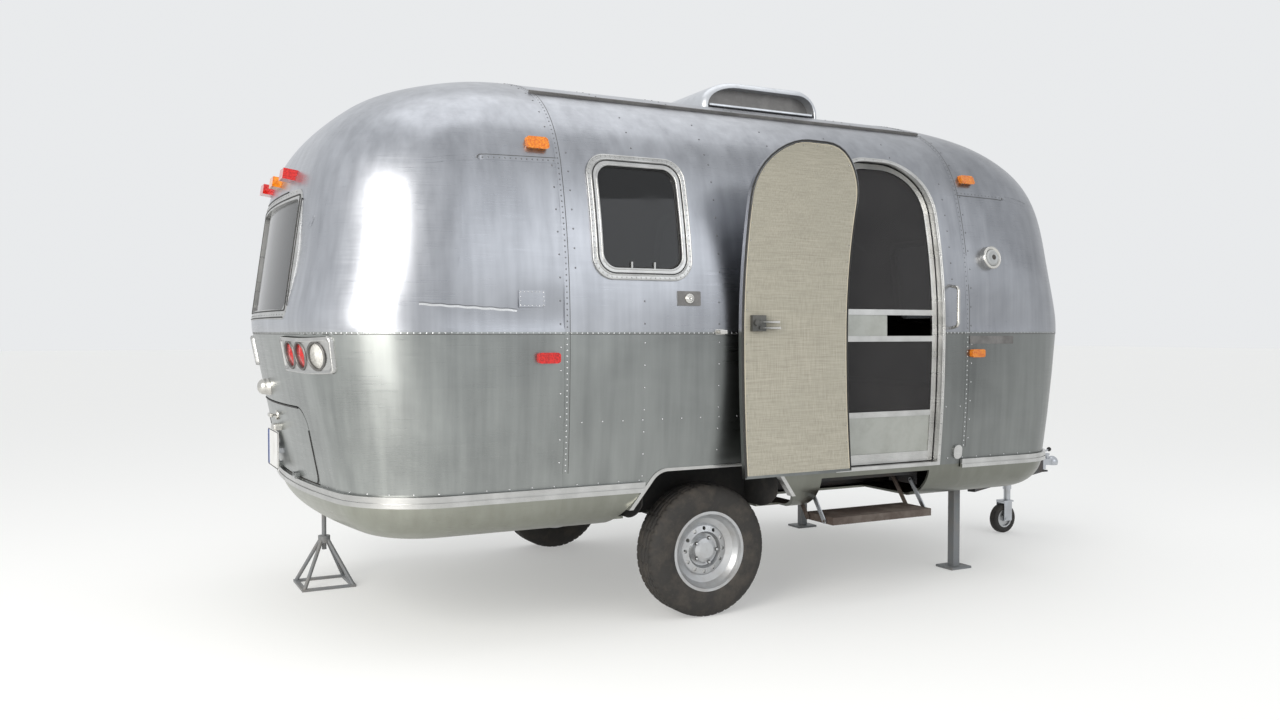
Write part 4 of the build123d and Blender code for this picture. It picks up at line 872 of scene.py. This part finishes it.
def build_tyres():
    """Road tyres with tread blocks and grooves round the tread, and their wheel nuts."""
    # Outer half of a tyre from the bead over the wall to the middle of the tread
    half = [(197, -24), (206, -12), (228, -3), (262, 0), (288, -2), (305, -7), (318, -14),
            (330, -24), (338, -34), (340, -46), (332, -48), (332, -55), (340, -57),
            (340, -78), (332, -80), (332, -87), (340, -89)]
    width, tread = 205, 336
    profile = half + [(radius, -width - along) for radius, along in reversed(half)]
    shoulders = (7, 8, 9, 24, 25, 26)

    def blocks(i, j, radius):
        """Cuts the shoulders at every sixth step and the whole tread at every twelfth."""
        cut = i % 6 == 0 and radius > tread and (j in shoulders or i % 12 == 0)
        return radius - 7 if cut else radius

    for side, word in ((-1, "right"), (1, "left")):
        centre = (WHEEL_X, side * WHEEL_Y, WHEEL_Z)
        tyre = lathe(f"road_tyre_{word}", profile, centre, (0, side, 0), 300,
                     "tyre_rubber", f"wheel_{word}", blocks)
        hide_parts(f"tyre_{word}")
        nuts = []
        for i in range(5):
            angle = 2 * pi * i / 5
            nuts.append((at(WHEEL_X + 66 * cos(angle), side * 1052, WHEEL_Z + 66 * sin(angle)),
                         Vector((0, side, 0))))
        add_domes(f"wheel_nuts_{word}", nuts, 11, 14, "rim_paint", f"wheel_{word}", sides=6)


def vent_outline(margin):
    """Side outline of the vent hood from its rear foot over the top, margin inside it."""
    x0, x1, rear, front = 1280, 2130, 250, 160
    base, rise = 1353, 150 - margin
    path = [(x0 + margin, base - 60), (x0 + margin, base - 20)]
    for centre, length, first in ((x0 + rear, rear, 180), (x1 - front, front, 90)):
        for i in range(11):
            turn = radians(first - 9 * i)
            path.append((centre + (length - margin) * cos(turn), base + rise * sin(turn)))
    return path + [(x1 - margin, base - 20), (x1 - margin, base - 60)]


def build_vent():
    """Roof vent hood with rounded ends, its sides set back under a lip."""
    half, edge, recess, lip = 300, 46, 70, 38
    sides = [(half - recess, lip), (half - 3, lip)]
    for degree in (12, 30, 50, 70, 90):
        turn = radians(degree)
        sides.append((half - edge + edge * cos(turn), edge - edge * sin(turn)))
    rings = [(-y, margin) for y, margin in sides]
    rings += [(y, margin) for y, margin in reversed(sides)]
    verts, faces = [], []
    for y, margin in rings:
        verts += [at(x, y, z) for x, z in vent_outline(margin)]
    count = len(vent_outline(0))
    for i in range(len(rings) - 1):
        first, after = i * count, (i + 1) * count
        faces += [(first + j, first + j + 1, after + j + 1, after + j) for j in range(count - 1)]
    hood = add_mesh("vent_hood", verts, faces, "vent_plastic")
    hood.data.set_sharp_from_angle(angle=SHARP)
    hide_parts("roof_vent")
    verts, faces, rails = [], [], []
    for side in (-1, 1):
        ring = [at(x, side * (half - recess), z) for x, z in vent_outline(lip)]
        faces.append(list(range(len(verts), len(verts) + len(ring))))
        verts += ring
        y0, y1 = sorted((side * (half - recess), side * (half - 8)))
        rails.append((1330, 2080, y0, y1, 1348, 1362))
    # The set-back sides are dark grey: painted shade under the lip
    add_mesh("vent_sides", verts, faces, "vent_plastic", smooth=False, material="rail_grey")
    add_box("vent_rails", rails, "vent_plastic", bevel=4)


def lamp_spot(surface, y, z, side):
    """Skin under a point of a tail lamp, y across and z up from its middle."""
    turn, lean = radians(TAIL_LAMP_TURN), radians(TAIL_LAMP_LEAN)
    inward = Vector((cos(turn) * cos(lean), sin(turn) * cos(lean), sin(lean)))
    across = Vector((-sin(turn), cos(turn), 0))
    start = Vector(TAIL_LAMP) + across * y + inward.cross(across) * z - inward * 500
    ends = [Vector((p.x, -side * p.y, p.z)) for p in (start, start + inward * 900)]
    return surface.cast(at(*ends[0]), at(*ends[1]), 1.2)


def build_tail_housings():
    """Tail lamp housings with a double rim, on the curve of the skin, open at the lenses."""
    surface = Surface("end_rear_lower", "end_rear_upper")
    half_y, half_z, cell, corner, hole = 250, 86, 5, 26, 61
    count_y, count_z = round(2 * half_y / cell), round(2 * half_z / cell)
    # Rise over the skin, up to each distance from the edge
    rises = ((1, -3), (8, 14), (12, 19), (16, 15), (20, 18), (inf, 9))
    verts, faces = [], []
    for side in (-1, 1):
        base = len(verts)
        for i in range(count_y + 1):
            for j in range(count_z + 1):
                y, z = -half_y + i * cell, -half_z + j * cell
                over = Vector((max(abs(y) - half_y + corner, 0),
                               max(abs(z) - half_z + corner, 0)))
                inside = min(half_y - abs(y), half_z - abs(z), corner - over.length)
                rise = next(rise for limit, rise in rises if inside < limit)
                # A point beyond a rounded corner is pulled back onto it
                pull = min(1.0, corner / over.length) if over.length > 0 else 1.0
                y -= (1 - pull) * over.x * (1 if y > 0 else -1)
                z -= (1 - pull) * over.y * (1 if z > 0 else -1)
                point, normal = lamp_spot(surface, y, z, side)
                verts.append(point + normal * rise / 1000)
        for i in range(count_y):
            for j in range(count_z):
                y, z = -half_y + (i + 0.5) * cell, -half_z + (j + 0.5) * cell
                if all(hypot(y - lens, z) >= hole for lens in TAIL_LENSES):
                    a = base + i * (count_z + 1) + j
                    faces.append((a, a + count_z + 1, a + count_z + 2, a + 1))
    housing = add_mesh("tail_lamp_housings", verts, faces, "trim")
    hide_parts("tail_lamp_bezels")


def build_tail_lenses():
    """Stepped lenses in their collars: the outermost clear, the others red."""
    surface = Surface("end_rear_lower", "end_rear_upper")
    collar = [(69, 7), (68, 12), (63, 15), (59, 13), (58, 9), (57.5, -2)]
    lens = [(58, -1), (56, 2), (49, 3.5), (48, 5), (38, 6), (37, 7.5), (26, 8), (25, 9.5),
            (12, 10), (11, 11.5), (0.4, 11.5)]
    red, clear = [], []
    for side, word in ((-1, "right"), (1, "left")):
        for number, y in enumerate(TAIL_LENSES):
            point, normal = lamp_spot(surface, y, 0, side)
            centre = (point - ORIGIN) * 1000
            lathe(f"tail_collar_{word}_{number}", collar, centre, normal, 48, "trim",
                  material="rail_grey")
            outer = y == min(TAIL_LENSES)
            slot = "lens_clear" if outer else "lens_red"
            piece = lathe(f"tail_lens_{word}_{number}", lens, centre, normal, 40, slot)
            (clear if outer else red).append(piece)
    for piece in red:
        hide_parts("tail_lenses_red")
    for piece in clear:
        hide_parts("tail_lenses_white")


def build_crease():
    """Long shallow crease in the rear sheet, with a painted highlight along its upper edge and
    painted shade along its lower edge.
    """
    surface = Surface("end_rear_upper", "wall_right")
    run = []
    for i in range(29):
        x, z = -409 + 16.2 * i, 122 - 0.9 * i + 1.4 * sin(1.3 * i)
        run.append(surface.cast(at(x - 500, -1900, z), at(x, -300, z), 2.0))
    runs = runs_of(run)
    # Painted highlight on the upper edge, painted shade on the lower one
    add_strip("crease_painted_highlight", runs, 9, 1.6, material="rivet")
    add_strip("crease_painted_shade", runs, 4, 1.2, shift=-8, material="painted_shade_metal")


def rear_x(surface, y, z):
    """Where a surface of the rear lies at (y, z), as the body's x."""
    spot = surface.cast(at(-2200, y, z), at(0, y, z), 2.0)
    return (spot[0] - ORIGIN).x * 1000


def build_number_plate():
    """Blank number plate with its band, edge and bracket, and the lamp over it."""
    hatch = Surface("rear_hatch")
    y, z = 180, -620
    x = rear_x(hatch, y, z) - 34
    add_box("number_plate", [(x - 3, x, y - 170, y + 170, z - 100, z + 100)], "lock_metal",
            "hatch", bevel=1.2, material="plate")
    add_box("plate_band", [(x - 3.8, x - 2.6, y + 128, y + 166, z - 96, z + 96)], "lock_metal",
            "hatch", bevel=0.4, material="blue")
    edge = [(at(x - 3.4, y + dy, z + dz), Vector((-1, 0, 0)))
            for dy, dz in round_path(-165, 165, -95, 95, 12)]
    add_wires("plate_edge", [edge], 2.0, "lock_metal", "hatch", closed=True, material="gasket")
    bracket = [(x, x + 4, y - 150, y + 150, z - 42, z + 42)]
    bracket += [(x + 3, rear_x(hatch, foot, z) + 3, foot - 12, foot + 12, z - 12, z + 12)
                for foot in (y - 120, y + 120)]
    add_box("plate_bracket", bracket, "zinc", "hatch", bevel=1)
    lamp_x = rear_x(hatch, -34, -486)
    add_box("plate_lamp", [(lamp_x - 44, lamp_x + 4, -82, 14, -504, -470)], "lock_metal",
            "hatch", bevel=9)


def build_rear_fittings():
    """Handle and gasket of the rear hatch, and the domed lamp on the rear sheet."""
    hatch = Surface("rear_hatch")
    backward = (-1, 0, 0)
    x, z = rear_x(hatch, 0, -428), -428
    lathe("hatch_handle_base", [(26, -6), (26, 6), (22, 10), (10, 12), (9, 30), (0.4, 31)],
          (x, 0, z), backward, 28, "lock_metal", "hatch")
    add_box("hatch_handle", [(x - 44, x - 28, -46, 46, z - 10, z + 10)], "lock_metal", "hatch",
            bevel=6)
    y, z = 90, -285
    dome = [(47, -12), (47, 4), (43, 8), (42, 24), (39, 38), (31, 50), (18, 58), (0.4, 61)]
    centre = (rear_x(Surface("end_rear_lower"), y, z), y, z)
    lathe("dome_lamp", dome, centre, backward, 32, "lock_metal")
    path = dense(round_path(-598, 598, -727, -362, 60))
    edge = runs_of([hatch.cast(at(-2200, y, z), at(0, y, z), 2.0) for y, z in path])
    add_wires("hatch_gasket", edge, 4.0, "tyre_rubber", "hatch", material="gasket")


def build_porch_lamp():
    """Ring, glass and dark middle of the porch lamp."""
    spot = side_spots(Surface("porch_lamp"), [(2690, 430)])[0]
    centre, normal = (spot[0] - ORIGIN) * 1000, spot[1]
    ring = [(66, -2), (67, 9), (63, 15), (54, 16), (50, 9), (46, 7)]
    glass = [(47, 8), (44, 13), (34, 18), (33, 17), (22, 21), (21, 20), (15, 22)]
    middle = [(15.5, 22), (12, 24), (0.4, 25)]
    for name, profile, steps, material in (("ring", ring, 48, "lock_metal"),
                                           ("glass", glass, 48, "lamp_glass"),
                                           ("middle", middle, 24, "shade")):
        lathe(f"porch_lamp_{name}", profile, centre, normal, steps, "lens_clear",
              material=material)


def build_side_fittings():
    """Lock barrel, rivets of the rear patch, and the catch that holds the open door."""
    fittings = Surface("side_fittings")
    spot = side_spots(fittings, [(668, 165)])[0]
    barrel = [(25, -1), (25, 5), (20, 8), (17, 5), (16, 11), (6, 12), (5, 6), (0.4, 6)]
    lathe("outer_lock", barrel, (spot[0] - ORIGIN) * 1000, spot[1], 28, "trim",
          material="lock_metal")
    patch = dense(round_path(-220, -104, 120, 184, 3, 1), 19)
    rivets = [spot for spot in side_spots(fittings, patch) if spot]
    add_domes("patch_rivets", rivets, 3.2, 1.6, "trim", material="rivet")
    x, y = 844, -HALF_WIDTH
    add_box("wall_catch", [(x - 28, x + 28, y - 6, y + 8, -13, 13),
                           (x - 13, x + 15, y - 34, y - 4, -4, 4),
                           (x - 19, x + 21, y - 38, y - 30, -9, 9)], "lock_metal", bevel=2)


def build_brake_lever():
    """Bent hand lever of the brake on the drawbar, with its round knob."""
    x, y, z = 4340, -70, -948
    up = Vector((0, 0, 1))
    bends = ((0, 0, 0), (0, -8, 34), (60, 0, 52), (122, 14, 62))
    lever = [(at(x + dx, y + dy, z + dz), up) for dx, dy, dz in bends]
    add_wires("brake_lever", [lever], 7, "zinc")
    knob = [(0.4, -17), (9, -14), (15, -8), (17, 0), (15, 8), (9, 14), (0.4, 17)]
    lathe("brake_knob", knob, (x + 126, y + 14, z + 64), up, 24, "tyre_rubber",
          material="gasket")


def build_furniture():
    """Kitchen block and benches, dark behind the doorway and the windows."""
    wall, foot, pitch = HALF_WIDTH - 70, 1330, 204
    kitchen = [(foot - 10, 2140, wall - 480, wall - 40, -690, 84)]
    knobs = []
    for x in range(foot, foot + 4 * pitch, pitch):
        kitchen.append((x, x + 192, wall - 500, wall - 478, -640, 60))
        knobs.append((x + 90, x + 110, wall - 516, wall - 498, 0, 20))
    add_box("kitchen", kitchen, "floor_board", bevel=4, material="furniture")
    add_box("worktop", [(1305, 2155, wall - 512, wall - 30, 84, 118)], "floor_board", bevel=8,
            material="cream")
    add_box("kitchen_knobs", knobs, "lock_metal", bevel=3)
    benches = [(x0, x1, -860, 860, RAIL_Z, -330) for x0, x1 in ((-700, -160), (2600, 3040))]
    add_box("benches", benches, "floor_board", bevel=10, material="furniture")


def build_jockey_wheel():
    """Solid tyre of the jockey wheel on its pale rim."""
    centre, axle = (3965, -80, -1360), (0, 1, 0)
    # Half profiles, mirrored over the middle of the wheel
    tyre = [(64, -22), (68, -27), (92, -28), (101, -24), (105, -15)]
    tyre += [(radius, -along) for radius, along in reversed(tyre)]
    outer = [(9.6, -26), (22, -26), (24, -14), (50, -12), (56, -24), (65, -25)]
    rim = outer + [(radius, -along) for radius, along in reversed(outer)]
    piece = lathe("jockey_tyre", tyre, centre, axle, 64, "tyre_rubber", "jockey_roller")
    hub = lathe("jockey_rim", rim, centre, axle, 48, "tyre_rubber", "jockey_roller",
                material="rim_paint")
    hub.data.set_sharp_from_angle(angle=SHARP)
    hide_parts("jockey_wheel")


dress_nodes()
build_seams()
build_rib_rivets()
build_window_trim()
build_end_window_trim()
build_door_trim()
build_jamb_trim()
build_tyres()
build_vent()
build_tail_housings()
build_tail_lenses()
build_number_plate()
build_rear_fittings()
build_porch_lamp()
build_side_fittings()
build_brake_lever()
build_crease()
build_furniture()
build_jockey_wheel()
build_stage()
build_world()
build_lights()
build_camera()
bpy.context.scene.view_settings.view_transform = "Standard"
